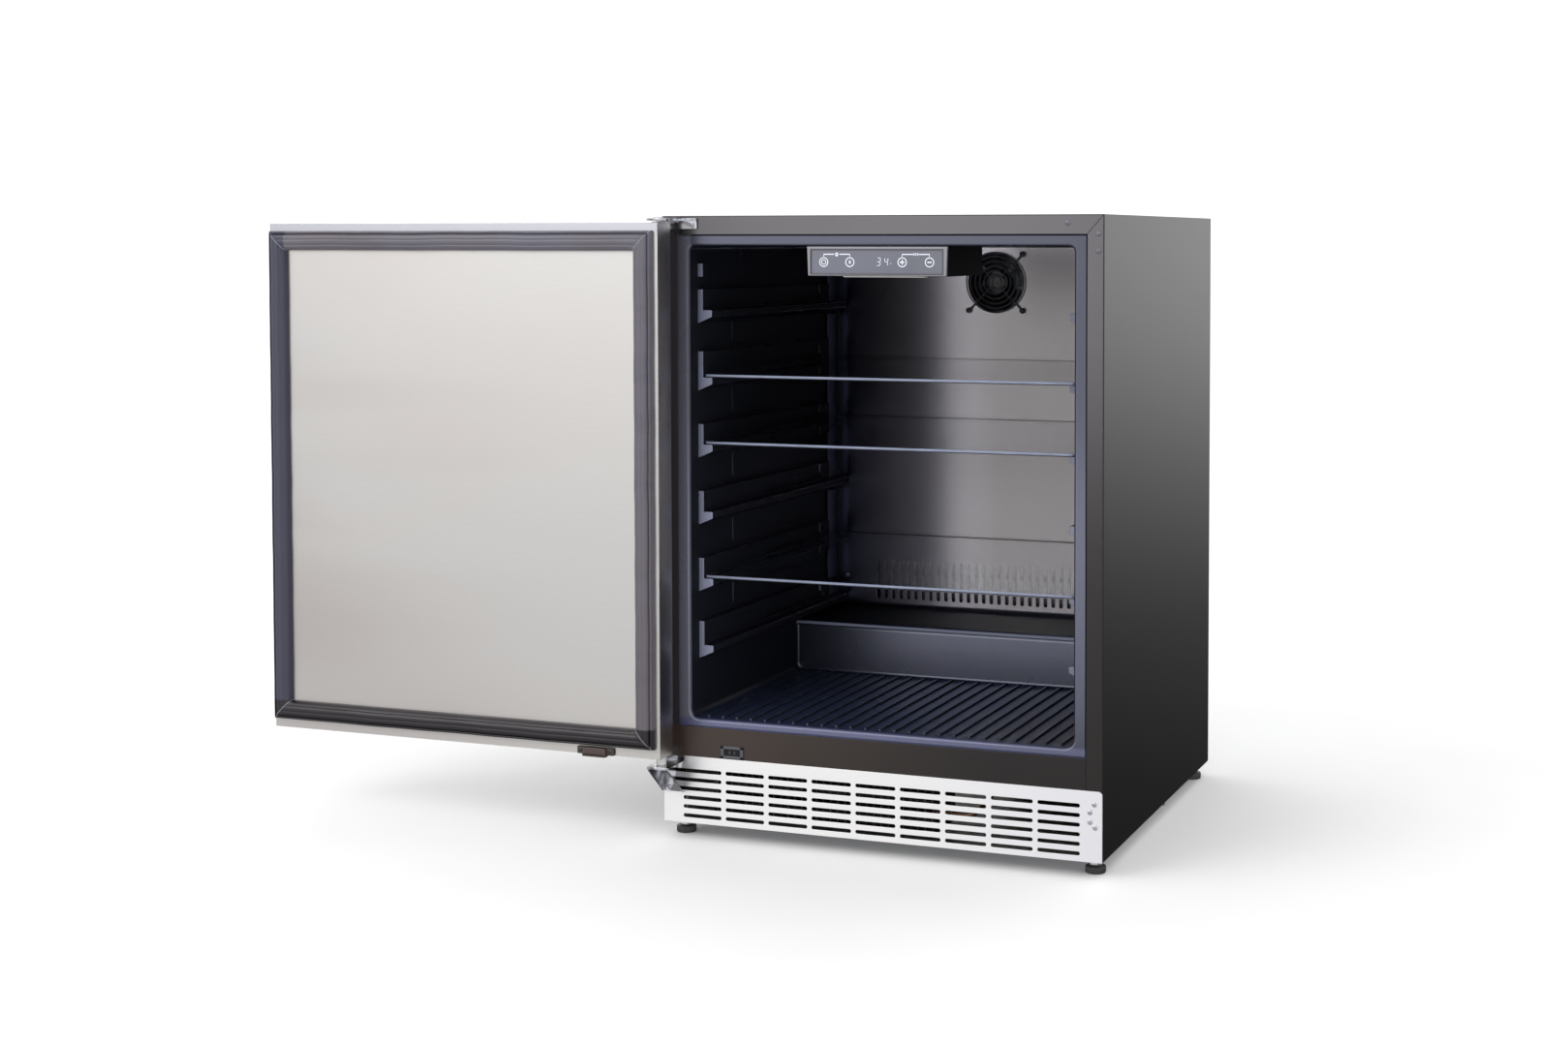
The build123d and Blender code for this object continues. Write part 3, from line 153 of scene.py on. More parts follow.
# --- Materials ----------------------------------------------------------------
LOOKS = {}
STEEL_EDGE = 0.0006
COARSE_LINES = 42  # hairlines per metre
FINE_LINES = 170


class Surface:
    """A material in LOOKS under its name: a Principled shader and the nodes that feed it."""

    def __init__(self, name, colour, roughness, metallic=0.0, **sockets):
        self.material = LOOKS[name] = bpy.data.materials.new(name)
        self.material.use_nodes = True
        self.tree = self.material.node_tree
        self.shader = self.tree.nodes["Principled BSDF"]
        self.colour = colour
        self.shader.inputs["Base Color"].default_value = (*colour, 1.0)
        self.shader.inputs["Roughness"].default_value = roughness
        self.shader.inputs["Metallic"].default_value = metallic
        for socket, value in sockets.items():
            self.shader.inputs[socket.replace("_", " ")].default_value = value
        self.coordinates = self.tree.nodes.new("ShaderNodeTexCoord").outputs["Object"]
        self.last_colour = None
        self.last_normal = None

    def node(self, kind, **values):
        made = self.tree.nodes.new(kind)
        for key, value in values.items():
            setattr(made, key, value)
        return made

    def link(self, source, target):
        self.tree.links.new(source, target)

    def noise(self, scale, stretch=(1, 1, 1), detail=3.0, rough=0.55, distortion=0.0, offset=(0, 0, 0)):
        """Noise over the object, in cycles per metre, stretched by its direction factors."""
        mapping = self.node("ShaderNodeMapping")
        mapping.inputs["Scale"].default_value = stretch
        mapping.inputs["Location"].default_value = offset
        self.link(self.coordinates, mapping.inputs["Vector"])
        texture = self.node("ShaderNodeTexNoise")
        texture.inputs["Scale"].default_value = scale
        texture.inputs["Detail"].default_value = detail
        texture.inputs["Roughness"].default_value = rough
        texture.inputs["Distortion"].default_value = distortion
        self.link(mapping.outputs["Vector"], texture.inputs["Vector"])
        return texture.outputs["Fac"]

    def maths(self, operation, *operands):
        """The result of a Math node fed with sockets and plain numbers."""
        made = self.node("ShaderNodeMath", operation=operation)
        for socket, operand in zip(made.inputs, operands):
            if isinstance(operand, (int, float)):
                socket.default_value = operand
            else:
                self.link(operand, socket)
        return made.outputs["Value"]

    def times(self, first, second):
        return self.maths("MULTIPLY", first, second)

    def between(self, value, low, high):
        """1 where a value lies between two limits, 0 elsewhere."""
        return self.maths("COMPARE", value, (low + high) / 2, (high - low) / 2)

    def span(self, value, from_low, from_high, low, high):
        """Maps a value from one range to another, clamped."""
        ranged = self.node("ShaderNodeMapRange")
        ranged.inputs["From Min"].default_value = from_low
        ranged.inputs["From Max"].default_value = from_high
        ranged.inputs["To Min"].default_value = low
        ranged.inputs["To Max"].default_value = high
        self.link(value, ranged.inputs["Value"])
        return ranged.outputs["Result"]

    def fade(self, value, start, end):
        """0 before a value's start, rising to 1 at its end, which may be the lower of the two."""
        return self.span(value, start, end, 0.0, 1.0)

    def tint(self, factor, colour):
        """Mixes a second colour in by a factor, on top of what was mixed before."""
        mix = self.node("ShaderNodeMix", data_type="RGBA")
        self.link(factor, mix.inputs["Factor"])
        if self.last_colour is None:
            mix.inputs["A"].default_value = (*self.colour, 1.0)
        else:
            self.link(self.last_colour, mix.inputs["A"])
        mix.inputs["B"].default_value = (*colour, 1.0)
        self.last_colour = mix.outputs["Result"]
        self.link(self.last_colour, self.shader.inputs["Base Color"])

    def vary_roughness(self, value, low, high, span=(0.3, 0.7)):
        self.link(self.span(value, span[0], span[1], low, high), self.shader.inputs["Roughness"])

    def dull(self, factor, roughness):
        """Mixes in a second roughness by a factor, on top of the one that varies already."""
        mixed = self.node("ShaderNodeMapRange")
        mixed.inputs["To Max"].default_value = roughness
        self.link(self.shader.inputs["Roughness"].links[0].from_socket, mixed.inputs["To Min"])
        self.link(factor, mixed.inputs["Value"])
        self.link(mixed.outputs["Result"], self.shader.inputs["Roughness"])

    def bump(self, value, strength, distance):
        made = self.node("ShaderNodeBump")
        made.inputs["Strength"].default_value = strength
        made.inputs["Distance"].default_value = distance
        self.link(value, made.inputs["Height"])
        if self.last_normal is not None:
            self.link(self.last_normal, made.inputs["Normal"])
        self.last_normal = made.outputs["Normal"]
        self.link(self.last_normal, self.shader.inputs["Normal"])

    def soften_edges(self, radius):
        """Rounds the look of sharp edges."""
        bevel = self.node("ShaderNodeBevel", samples=6)
        bevel.inputs["Radius"].default_value = radius
        self.last_normal = bevel.outputs["Normal"]
        self.link(self.last_normal, self.shader.inputs["Normal"])

    def part_of(self, vector):
        """The X, Y and Z of a vector."""
        split = self.node("ShaderNodeSeparateXYZ")
        self.link(vector, split.inputs["Vector"])
        return [split.outputs[axis] for axis in "XYZ"]

    def position(self):
        """The X, Y and Z of the point that is shaded."""
        return self.part_of(self.coordinates)

    def facing(self):
        """The X, Y and Z of the object's own normal."""
        return self.part_of(self.node("ShaderNodeTexCoord").outputs["Normal"])


def scaled(colour, factor):
    return tuple(c * factor for c in colour)


def brushed(name, colour, roughness, grain=(1, 1, 90), warm=None, aniso=0.65, depth=0.05, patch=2.2):
    """Metal with fine hairlines along one direction, and faint clouds of a warm tint if given."""
    steel = Surface(name, colour, roughness, 1.0, Anisotropic=aniso, Anisotropic_Rotation=0.25)
    steel.soften_edges(STEEL_EDGE)
    hairlines = steel.noise(COARSE_LINES, grain, 5.0, 0.75)
    fine = steel.noise(FINE_LINES, grain, 4.0, 0.8, offset=(3, 1, 2))
    steel.tint(steel.span(hairlines, 0.35, 0.65, 0.0, 0.55), scaled(colour, 0.86))
    if warm:
        clouds = steel.noise(patch, (0.6, 1, 1.6), 2.5, 0.5, 0.4)
        steel.tint(steel.span(clouds, 0.45, 0.68, 0.0, 0.6), warm)
    steel.vary_roughness(hairlines, roughness * 0.88, roughness * 1.14)
    steel.bump(hairlines, depth, 0.00008)
    steel.bump(fine, depth * 1.2, 0.00004)
    tangent = steel.node("ShaderNodeTangent", direction_type="RADIAL", axis="Z")
    steel.link(tangent.outputs["Tangent"], steel.shader.inputs["Tangent"])
    return steel


def coated(name, colour, roughness, speck, grain=900, depth=0.12, edge=0.0005, coat=0.0,
           specular=0.5, sheen_tint=(1, 1, 1), even=False):
    """Paint or moulded plastic: specks, faint patches, fine grain and softened edges."""
    paint = Surface(name, colour, roughness, Specular_IOR_Level=specular, Coat_Weight=coat,
                    Coat_Roughness=0.25)
    paint.shader.inputs["Specular Tint"].default_value = (*sheen_tint, 1.0)
    paint.soften_edges(edge)
    patches = paint.noise(7, detail=3)
    peel = paint.noise(grain, detail=2)
    paint.tint(paint.span(patches, 0.35, 0.7, 0.0, 0.7), speck)
    paint.tint(paint.span(peel, 0.62, 0.8, 0.0, 0.5), scaled(speck, 1.6))
    if not even:
        paint.vary_roughness(patches, roughness * 0.96, roughness * 1.05)
    if depth:
        paint.bump(peel, depth, 0.0002)
    return paint


# Name, colour, roughness, colour of the specks, their scale, depth of the grain.
for *coating, options in (
    ("painted_black", (0.003, 0.003, 0.003), 0.28, (0.0032, 0.0032, 0.0032), 60, 0.0, {"even": True}),
    ("housing_black", (0.003, 0.003, 0.004), 0.48, (0.004, 0.004, 0.005), 1500, 0.15, {"specular": 0.3}),
    ("fan_black", (0.012, 0.012, 0.015), 0.26, (0.018, 0.018, 0.022), 700, 0.05, {}),
    ("guard_black", (0.030, 0.030, 0.038), 0.30, (0.045, 0.045, 0.055), 1200, 0.06, {}),
    ("rubber_black", (0.012, 0.012, 0.012), 0.62, (0.018, 0.018, 0.018), 500, 0.2, {}),
    ("foot_black", (0.016, 0.016, 0.017), 0.38, (0.024, 0.024, 0.025), 900, 0.15, {}),
    ("compressor_black", (0.010, 0.010, 0.010), 0.20, (0.014, 0.014, 0.014), 60, 0.05, {"coat": 0.6}),
    ("magnet_brown", (0.045, 0.030, 0.026), 0.40, (0.070, 0.050, 0.044), 900, 0.15, {}),
    ("screw_black", (0.030, 0.030, 0.034), 0.32, (0.045, 0.045, 0.050), 600, 0.08, {}),
    ("switch_grey", (0.060, 0.058, 0.074), 0.34, (0.080, 0.078, 0.096), 900, 0.1, {}),
    ("bush_white", (0.72, 0.72, 0.70), 0.40, (0.66, 0.66, 0.63), 500, 0.08, {}),
    ("lens", (0.74, 0.74, 0.72), 0.30, (0.68, 0.68, 0.66), 300, 0.05, {}),
    ("foam", (0.74, 0.66, 0.42), 0.85, (0.62, 0.54, 0.32), 260, 0.7, {}),
    ("circuit_board", (0.02, 0.14, 0.05), 0.30, (0.03, 0.20, 0.08), 220, 0.1, {}),
):
    coated(*coating, **options)

brushed("handle_stainless", (0.70, 0.70, 0.70), 0.25, (1, 1, 80))
brushed("galvanised", (0.50, 0.51, 0.53), 0.42, (1, 1, 1), (0.62, 0.63, 0.65), aniso=0.0, patch=60)
brushed("pin_steel", (0.66, 0.66, 0.67), 0.25, (1, 1, 12), aniso=0.2)
brushed("head_zinc", (0.52, 0.53, 0.58), 0.18, (1, 1, 4), aniso=0.0, depth=0.02)
brushed("frame_screw", (0.23, 0.22, 0.26), 0.22, (1, 1, 4), aniso=0.0, depth=0.02)
brushed("fins", (0.66, 0.66, 0.66), 0.35, (1, 1, 10), aniso=0.0)
brushed("copper", (0.72, 0.38, 0.24), 0.28, (1, 1, 10), (0.60, 0.26, 0.16), aniso=0.2, patch=9)
brushed("zinc", (0.72, 0.72, 0.70), 0.30, (1, 1, 6), (0.62, 0.60, 0.52), aniso=0.0, patch=80)


def chrome_look():
    """Bright plating whose curved reflections are painted in as dark patches."""
    plating = brushed("chrome", (0.66, 0.67, 0.72), 0.14, (1, 1, 4), aniso=0.0, depth=0.02)
    patches = plating.noise(38, (1, 1, 0.6), 1.5, 0.4, 1.2)
    # Painted reflection: dark patches tinted into the plating's colour.
    plating.tint(plating.span(patches, 0.46, 0.56, 0.0, 0.85), (0.13, 0.12, 0.13))


def bezel_look():
    """A silver rim whose bevel towards the glass is darkened with painted shade."""
    rim = brushed("bezel_silver", (0.30, 0.30, 0.325), 0.30, (1, 1, 30), aniso=0.3)
    x, _, z = rim.position()
    low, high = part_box("control_glass")
    bevel = 1.6 * MM
    inside = rim.times(rim.between(x, low[0] - bevel, high[0] + bevel),
                       rim.between(z, low[2] - bevel, high[2] + bevel))
    # Painted shade on the bevel round the glass.
    rim.tint(inside, (0.105, 0.105, 0.120))


def frame_look():
    """Semi-gloss paint; the bottom rail and the hinge-side stile are lightened a little with painted
    light.
    """
    paint = coated("frame_black", (0.006, 0.0045, 0.004), 0.26, (0.008, 0.006, 0.005), 2000, 0.05,
                   specular=0.32)
    x, _, z = paint.position()
    rail_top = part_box("frame_bottom_rail")[1][2]
    above = rail_top + 6 * MM
    painted_light_rail = paint.fade(z, above, rail_top)
    # Painted light: warm, fading from the hinge side along the bottom rail.
    paint.tint(paint.times(painted_light_rail, paint.span(x, -0.28, 0.12, 1.0, 0.0)), (0.032, 0.022, 0.017))
    stile_edge = -0.270
    # Painted light on the hinge-side stile above the bottom rail.
    painted_light_stile = paint.times(paint.fade(x, stile_edge, stile_edge - 6 * MM), paint.fade(z, rail_top, above))
    paint.tint(painted_light_stile, (0.021, 0.018, 0.022))


def liner_look():
    """Moulded black plastic; the ends of the shelf rails are lighter, a painted highlight."""
    plastic = coated("liner_black", (0.0030, 0.0036, 0.0065), 0.28, (0.0040, 0.0047, 0.0085), 1800, 0.05,
                     edge=0.0009, specular=0.25, sheen_tint=(0.86, 0.88, 1.0))
    x, y, z = plastic.position()
    normal_x, normal_y, normal_z = plastic.facing()
    forward = plastic.between(normal_y, -1.1, -0.9)
    level = plastic.between(normal_z, 0.9, 1.1)
    left_rails, right_rails, rear_stops = -0.257, -0.235, 0.127
    # Painted highlights on the front faces of the rail ends and the rear stops.
    for front, colour in (
        (left_rails, (0.070, 0.074, 0.095)),
        (right_rails, (0.022, 0.023, 0.030)),
        (rear_stops, (0.034, 0.036, 0.044)),
    ):
        ends = plastic.times(forward, plastic.between(y, front - 1.2 * MM, front + 1.2 * MM))
        plastic.tint(ends, colour)

    # The mouth's lip, lighter along the left and the bottom: painted light.
    mouth_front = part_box("liner")[0][1]
    lip_left, lip_bottom = -0.255, 0.160
    mouth = plastic.fade(y, mouth_front + 4 * MM, mouth_front + 3 * MM)
    left = plastic.fade(x, lip_left, lip_left - 4 * MM)
    bottom = plastic.fade(z, lip_bottom, lip_bottom - 3 * MM)
    plastic.tint(plastic.times(mouth, left), (0.036, 0.036, 0.044))
    plastic.tint(plastic.times(mouth, bottom), (0.022, 0.023, 0.040))

    # The floor gets a painted bluish sheen towards the step, and the step's rounded edge a painted
    # highlight.
    floor_top, step_front, step_top = 0.165, 0.058, 0.231
    floor = plastic.times(level, plastic.fade(z, floor_top + 5 * MM, floor_top))
    painted_sheen = plastic.times(plastic.span(y, -0.25, 0.05, 0.6, 1.0), plastic.span(x, 0.05, 0.25, 1.0, 0.2))
    plastic.tint(plastic.times(floor, painted_sheen), (0.016, 0.022, 0.047))
    rounded = plastic.times(plastic.between(normal_z, 0.50, 0.86),
                            plastic.between(y, step_front, step_front + 12 * MM))
    step_edge_highlight = plastic.times(rounded, plastic.fade(z, step_top - 13 * MM, step_top - 9 * MM))
    plastic.tint(step_edge_highlight, (0.110, 0.118, 0.150))

    # The channel inside the front frame, the hinge-side wall and the step's top are dull.
    channel_floor = mouth_front + 1.4 * MM
    on_floor = plastic.between(y, channel_floor - 0.3 * MM, channel_floor + 0.3 * MM)
    plastic.dull(plastic.times(forward, on_floor), 1.0)
    plastic.dull(plastic.between(normal_x, 0.9, 1.1), 0.65)
    plastic.dull(plastic.times(level, plastic.between(z, step_top - 3 * MM, step_top + 3 * MM)), 0.42)


def kick_look():
    """Bright steel that darkens and cools from the hinge side to the latch side, a painted shade."""
    steel = brushed("kick_stainless", (0.955, 0.945, 0.950), 0.42, (1, 1, 60), (0.97, 0.95, 0.93),
                    aniso=0.5)
    x = steel.position()[0]
    # Painted shade: darker and cooler towards the latch side.
    steel.tint(steel.span(x, 0.0, 0.3, 0.0, 0.9), (0.84, 0.84, 0.89))


def cover_look():
    """The rear wall, darkened towards the hinge side by painted reflections; its folded sides are darkened
    with painted shade and their bends lightened with a painted highlight.
    """
    steel = brushed("cover_stainless", (0.262, 0.246, 0.252), 0.24, (1, 1, 60), (0.27, 0.230, 0.205),
                    aniso=0.8)
    x = steel.position()[0]
    # Painted reflection: lighter left of the middle, then darker and bluer towards the hinge side, darkest
    # in the corner.
    for start, end, colour in (
        (0.00, -0.15, (0.420, 0.400, 0.440)),
        (-0.16, -0.235, (0.190, 0.190, 0.285)),
        (-0.238, -0.250, (0.045, 0.046, 0.060)),
    ):
        steel.tint(steel.fade(x, start, end), colour)
    sideways = steel.maths("ABSOLUTE", steel.facing()[0])
    folded = steel.between(sideways, 0.85, 1.1)
    bend_highlight = steel.between(sideways, 0.20, 0.84)
    # Painted shade on the folded sides; painted highlight along the bends.
    steel.tint(folded, (0.150, 0.165, 0.220))
    steel.dull(folded, 0.60)
    steel.tint(bend_highlight, (0.300, 0.325, 0.400))


def door_look():
    """The door skin, with broad faint darker bands of painted reflection on its free half and a cool
    margin over the gasket.
    """
    steel = brushed("door_stainless", (0.585, 0.572, 0.560), 0.33, (1, 1, 60), (0.555, 0.515, 0.495),
                    aniso=0.75)
    x, y, z = steel.position()
    # Painted reflection: faint darker bands across the free half.
    bands = steel.noise(3.1, (0.25, 0.1, 2.2), 1.5, 0.4, 0.3, (0.3, 0, 0.55))
    painted_reflection_area = steel.times(steel.span(x, -0.80, -0.40, 1.0, 0.0), steel.fade(z, 0.70, 0.55))
    steel.tint(steel.times(painted_reflection_area, steel.span(bands, 0.42, 0.60, 0.0, 0.8)), (0.475, 0.435, 0.425))
    gasket_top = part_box("door_gasket")[1][2]
    inner_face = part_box("door_outer_panel")[0][1]
    margin = steel.times(steel.fade(z, gasket_top - 6 * MM, gasket_top - 2 * MM),
                         steel.fade(y, inner_face + 4 * MM, inner_face + 2 * MM))
    steel.tint(margin, (0.468, 0.470, 0.511))


def gasket_look():
    """Soft PVC, darker down the free edge and along the bottom, with pale welds at the mitres."""
    pvc = Surface("gasket", (0.104, 0.108, 0.142), 0.36, IOR=1.5)
    pvc.soften_edges(0.0006)
    waves = pvc.noise(5, detail=3)
    streaks = pvc.noise(26, (0.2, 1, 1), 3)
    pvc.tint(pvc.span(waves, 0.4, 0.66, 0.0, 0.7), (0.100, 0.080, 0.086))
    pvc.tint(pvc.span(streaks, 0.5, 0.72, 0.0, 0.5), (0.060, 0.062, 0.085))
    low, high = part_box("door_gasket")
    band = 26 * MM
    weld_half = 0.5 * MM
    x, _, z = pvc.position()
    pvc.tint(pvc.fade(x, low[0] + band + 2 * MM, low[0] + band), (0.036, 0.036, 0.062))
    pvc.tint(pvc.fade(z, low[2] + band + 2 * MM, low[2] + band), (0.007, 0.004, 0.007))
    for side, corner_x in ((-1, low[0]), (1, high[0])):
        for end, corner_z in ((-1, low[2]), (1, high[2])):
            across = pvc.maths("MULTIPLY_ADD", x, side, pvc.maths("MULTIPLY", z, -end))
            mitre = side * corner_x - end * corner_z
            weld = pvc.between(across, mitre - weld_half, mitre + weld_half)
            near = pvc.between(x, corner_x - 2 * band, corner_x + 2 * band)
            pvc.tint(pvc.times(weld, near), (0.26, 0.26, 0.32))
    pvc.vary_roughness(streaks, 0.30, 0.44)
    pvc.bump(waves, 0.15, 0.0006)


def pane_look():
    """Clear glass with faint smears."""
    glass = Surface("shelf_glass", (0.93, 0.97, 0.98), 0.0, IOR=1.5, Transmission_Weight=1.0)
    smear = glass.noise(9, detail=3)
    glass.tint(glass.span(smear, 0.4, 0.7, 0.0, 0.5), (0.90, 0.95, 0.96))
    glass.vary_roughness(smear, 0.0, 0.03, (0.5, 0.8))


SHELVES = ("upper", "middle", "lower")


def pane_edge_look(name, colour, band):
    """The ground edge of a pane, darkened along its underside with painted shade."""
    edge = Surface(name, colour, 0.35, IOR=1.5, Transmission_Weight=0.25)
    bands = edge.noise(40, (1, 1, 6), 2)
    edge.tint(edge.span(bands, 0.4, 0.7, 0.0, 0.6), band)
    z = edge.position()[2]
    # Painted shade: a dark band along each shelf's underside.
    for shelf in SHELVES:
        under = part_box(f"glass_shelf_{shelf}")[0][2]
        edge.tint(edge.between(z, under - 1 * MM, under + 1.3 * MM), (0.020, 0.022, 0.032))
    edge.vary_roughness(bands, 0.28, 0.45)


def panel_look():
    """The touch panel's dark glass, a little smeared."""
    panel = Surface("panel_glass", (0.125, 0.130, 0.165), 0.18, IOR=1.5, Coat_Weight=0.6,
                    Coat_Roughness=0.06)
    smear = panel.noise(14, detail=3)
    panel.tint(panel.span(smear, 0.4, 0.7, 0.0, 0.7), (0.100, 0.104, 0.135))
    panel.vary_roughness(smear, 0.12, 0.26)


def icon_look():
    """White print that glows faintly."""
    icon = Surface("panel_icons", (0.80, 0.82, 0.90), 0.4, Emission_Strength=0.12)
    icon.shader.inputs["Emission Color"].default_value = (0.85, 0.88, 1.0, 1.0)
    ink = icon.noise(900, detail=2)
    icon.tint(icon.span(ink, 0.4, 0.7, 0.0, 0.4), (0.70, 0.72, 0.78))


for look in (chrome_look, bezel_look, frame_look, liner_look, kick_look, cover_look, door_look,
             gasket_look, pane_look, panel_look, icon_look):
    look()
pane_edge_look("shelf_glass_edge", (0.30, 0.34, 0.47), (0.18, 0.21, 0.32))
# The rear edges take a dark copy of the edge look, painted shade.
pane_edge_look("shelf_glass_rear_edge_shade", (0.010, 0.012, 0.015), (0.02, 0.024, 0.03))

# Each material slot of the record names a look of its own.
for entry in frame["record"]["subparts"]:
    shown = nodes[entry["node"]]
    shown.data.materials.clear()
    shown.data.materials.append(LOOKS[entry["material_slot"]])


# --- Screws -----------------------------------------------------------------------
def cross_head(name, radius, height, look):
    """A pan head along +Z with a pressed cross, standing on Z = 0."""
    rings = 12
    segments = 48
    arm_half, arm_reach, cross_depth = 0.17 * radius, 0.58 * radius, 0.45 * height
    vertices = [(0, 0, 0)]
    for j in range(rings + 1):
        r = radius * min(1.0, j / (rings - 1))
        dome = height * (1 - 0.55 * (r / radius) ** 3)
        for i in range(segments):
            turn = TURN * i / segments
            x = r * math.cos(turn)
            y = r * math.sin(turn)
            z = 0.0 if j == rings else dome
            if j < rings and min(abs(x), abs(y)) < arm_half and max(abs(x), abs(y)) < arm_reach:
                z -= cross_depth
            vertices.append((x, y, z))
    faces = ring_quads(rings + 1, segments, 1)
    faces.append(tuple(range(1 + rings * segments, 1 + (rings + 1) * segments)))
    piece = mesh_object(name, vertices, faces, 35)
    piece.data.materials.append(LOOKS[look])
    return piece


def islands(node):
    """The boxes of a node's separate solids, each as (low corner, high corner)."""
    build = bmesh.new()
    build.from_mesh(nodes[node].data)
    bmesh.ops.remove_doubles(build, verts=build.verts, dist=1e-5)
    boxes = []
    seen = set()
    for start in build.verts:
        if start in seen:
            continue
        group = [start]
        seen.add(start)
        for vertex in group:
            for edge in vertex.link_edges:
                other = edge.other_vert(vertex)
                if other not in seen:
                    seen.add(other)
                    group.append(other)
        low = Vector([min(v.co[i] for v in group) for i in range(3)])
        high = Vector([max(v.co[i] for v in group) for i in range(3)])
        boxes.append((low, high))
    build.free()
    return boxes


REAR_SCREWS = 0.23  # behind this Y, screws face the back
UPPER_SCREWS = 0.5  # above this Z, the front ones may have another look


def screw_heads(name, node, head_height, look, body="cabinet", upper_look=None):
    """Cross-slotted heads at the outer ends of a node's screws."""
    parts = []
    for index, (low, high) in enumerate(islands(node)):
        centre = (low + high) / 2
        front = centre.y < REAR_SCREWS
        head = cross_head(f"{name}_{index}", (high.x - low.x) / 2, head_height, look)
        stopped_at = 0.4 + 1.3 * index
        head.data.transform(Matrix.Rotation(stopped_at, 4, "Z"))
        if upper_look and centre.z > UPPER_SCREWS and front:
            head.data.materials[0] = LOOKS[upper_look]
        seat = low.y + head_height if front else high.y - head_height
        parts.append(place(head, centre.x, seat, centre.z, front))
    whole = join(name, parts)
    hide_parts(node)
    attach(whole, body)


screw_heads("screw_heads_cabinet", "cabinet_screws", 1.8 * MM, "head_zinc",
            upper_look="frame_screw")
screw_heads("screw_heads_hinge", "hinge_screws", 1.8 * MM, "head_zinc")
screw_heads("screw_heads_guard", "fan_guard_screws", 2.0 * MM, "screw_black")
screw_heads("screw_heads_cover", "cover_screws", 1.8 * MM, "pin_steel")
screw_heads("screw_heads_magnet", "magnet_screws", 1.6 * MM, "screw_black", "door")


# --- Door gasket ---------------------------------------------------------------------
def door_gasket():
    """An extruded seal with two lips and a magnet bellows, mitred at the corners."""
    low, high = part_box("door_gasket")
    base = high[1]
    # Distance in from the outer edge and height off the door, in millimetres.
    profile = [
        (0.0, 0.0), (0.2, 4.0), (0.9, 7.2), (2.2, 8.2), (3.4, 7.8), (4.0, 6.0), (4.5, 6.0), (5.1, 8.4),
        (6.4, 10.4), (8.6, 11.2), (11.0, 11.3), (11.7, 10.9), (12.4, 11.3), (16.2, 11.2), (18.4, 10.2),
        (19.0, 9.5), (19.6, 9.5), (20.4, 9.9), (22.8, 8.6), (24.8, 6.0), (25.8, 3.0), (26.0, 0.0),
    ]
    tallest = 11.5
    limit = 11.45
    steps = 60
    corners = ((0, 0), (1, 0), (1, 1), (0, 1))
    vertices = []
    for inset, height in profile:
        lift = height / tallest
        for side in range(4):
            x0, z0 = corners[side]
            x1, z1 = corners[(side + 1) % 4]
            for step in range(steps):
                t = step / steps
                edge_x = x0 + (x1 - x0) * t
                edge_z = z0 + (z1 - z0) * t
                # Ripples die away towards the welded corners.
                calm = math.sin(math.pi * t) ** 0.5
                phase = 9.0 * (edge_x + 2 * edge_z) + side
                ripple = calm * (0.35 * math.sin(phase * 1.7) + 0.25 * math.sin(phase * 4.3 + 1))
                inner = inset + ripple * lift
                rise = height * 0.97 if t == 0 else min(height + 0.35 * ripple * lift, limit)
                x = low[0] + inner * MM + edge_x * (high[0] - low[0] - 2 * inner * MM)
                z = low[2] + inner * MM + edge_z * (high[2] - low[2] - 2 * inner * MM)
                vertices.append((x, base - rise * MM, z))
    ring = 4 * steps
    faces = ring_quads(len(profile), ring)
    last = (len(profile) - 1) * ring
    for i in range(ring):
        k = (i + 1) % ring
        faces.append((i, last + i, last + k, k))
    piece = mesh_object("gasket_profile", vertices, faces, 50)
    piece.data.materials.append(LOOKS["gasket"])
    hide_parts("door_gasket")
    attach(piece, "door")


door_gasket()


# --- Glass shelves --------------------------------------------------------------------
def glass_shelf(name, node, body):
    """A clear plate with ground, slightly rounded edges."""
    low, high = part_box(node)
    corner = 5 * MM
    chamfer = 0.5 * MM
    corner_steps = 8
    outline = []
    centres = (
        (high[0] - corner, high[1] - corner, 0), (low[0] + corner, high[1] - corner, 90),
        (low[0] + corner, low[1] + corner, 180), (high[0] - corner, low[1] + corner, 270),
    )
    for cx, cy, start in centres:
        for step in range(corner_steps + 1):
            turn = math.radians(start + step * 90 / corner_steps)
            outline.append((cx, cy, math.cos(turn), math.sin(turn)))
    levels = (
        (corner - chamfer, low[2]), (corner, low[2] + chamfer),
        (corner, high[2] - chamfer), (corner - chamfer, high[2]),
    )
    vertices = []
    for reach, z in levels:
        for cx, cy, c, s in outline:
            vertices.append((cx + reach * c, cy + reach * s, z))
    count = len(outline)
    faces = ring_quads(len(levels), count)
    faces.append(tuple(range(count))[::-1])
    faces.append(tuple(range(3 * count, 4 * count)))
    piece = mesh_object(name, vertices, faces, 30)
    for look in ("shelf_glass", "shelf_glass_edge", "shelf_glass_rear_edge_shade"):
        piece.data.materials.append(LOOKS[look])
    # Faces towards the back take the dark copy of the edge, painted shade.
    for polygon in piece.data.polygons:
        flat = len(polygon.vertices) > 4
        rear = polygon.normal.y > 0.3
        polygon.material_index = 0 if flat else 2 if rear else 1
    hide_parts(node)
    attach(piece, body)


for shelf in SHELVES:
    glass_shelf(f"shelf_pane_{shelf}", f"glass_shelf_{shelf}", f"shelf_{shelf}")


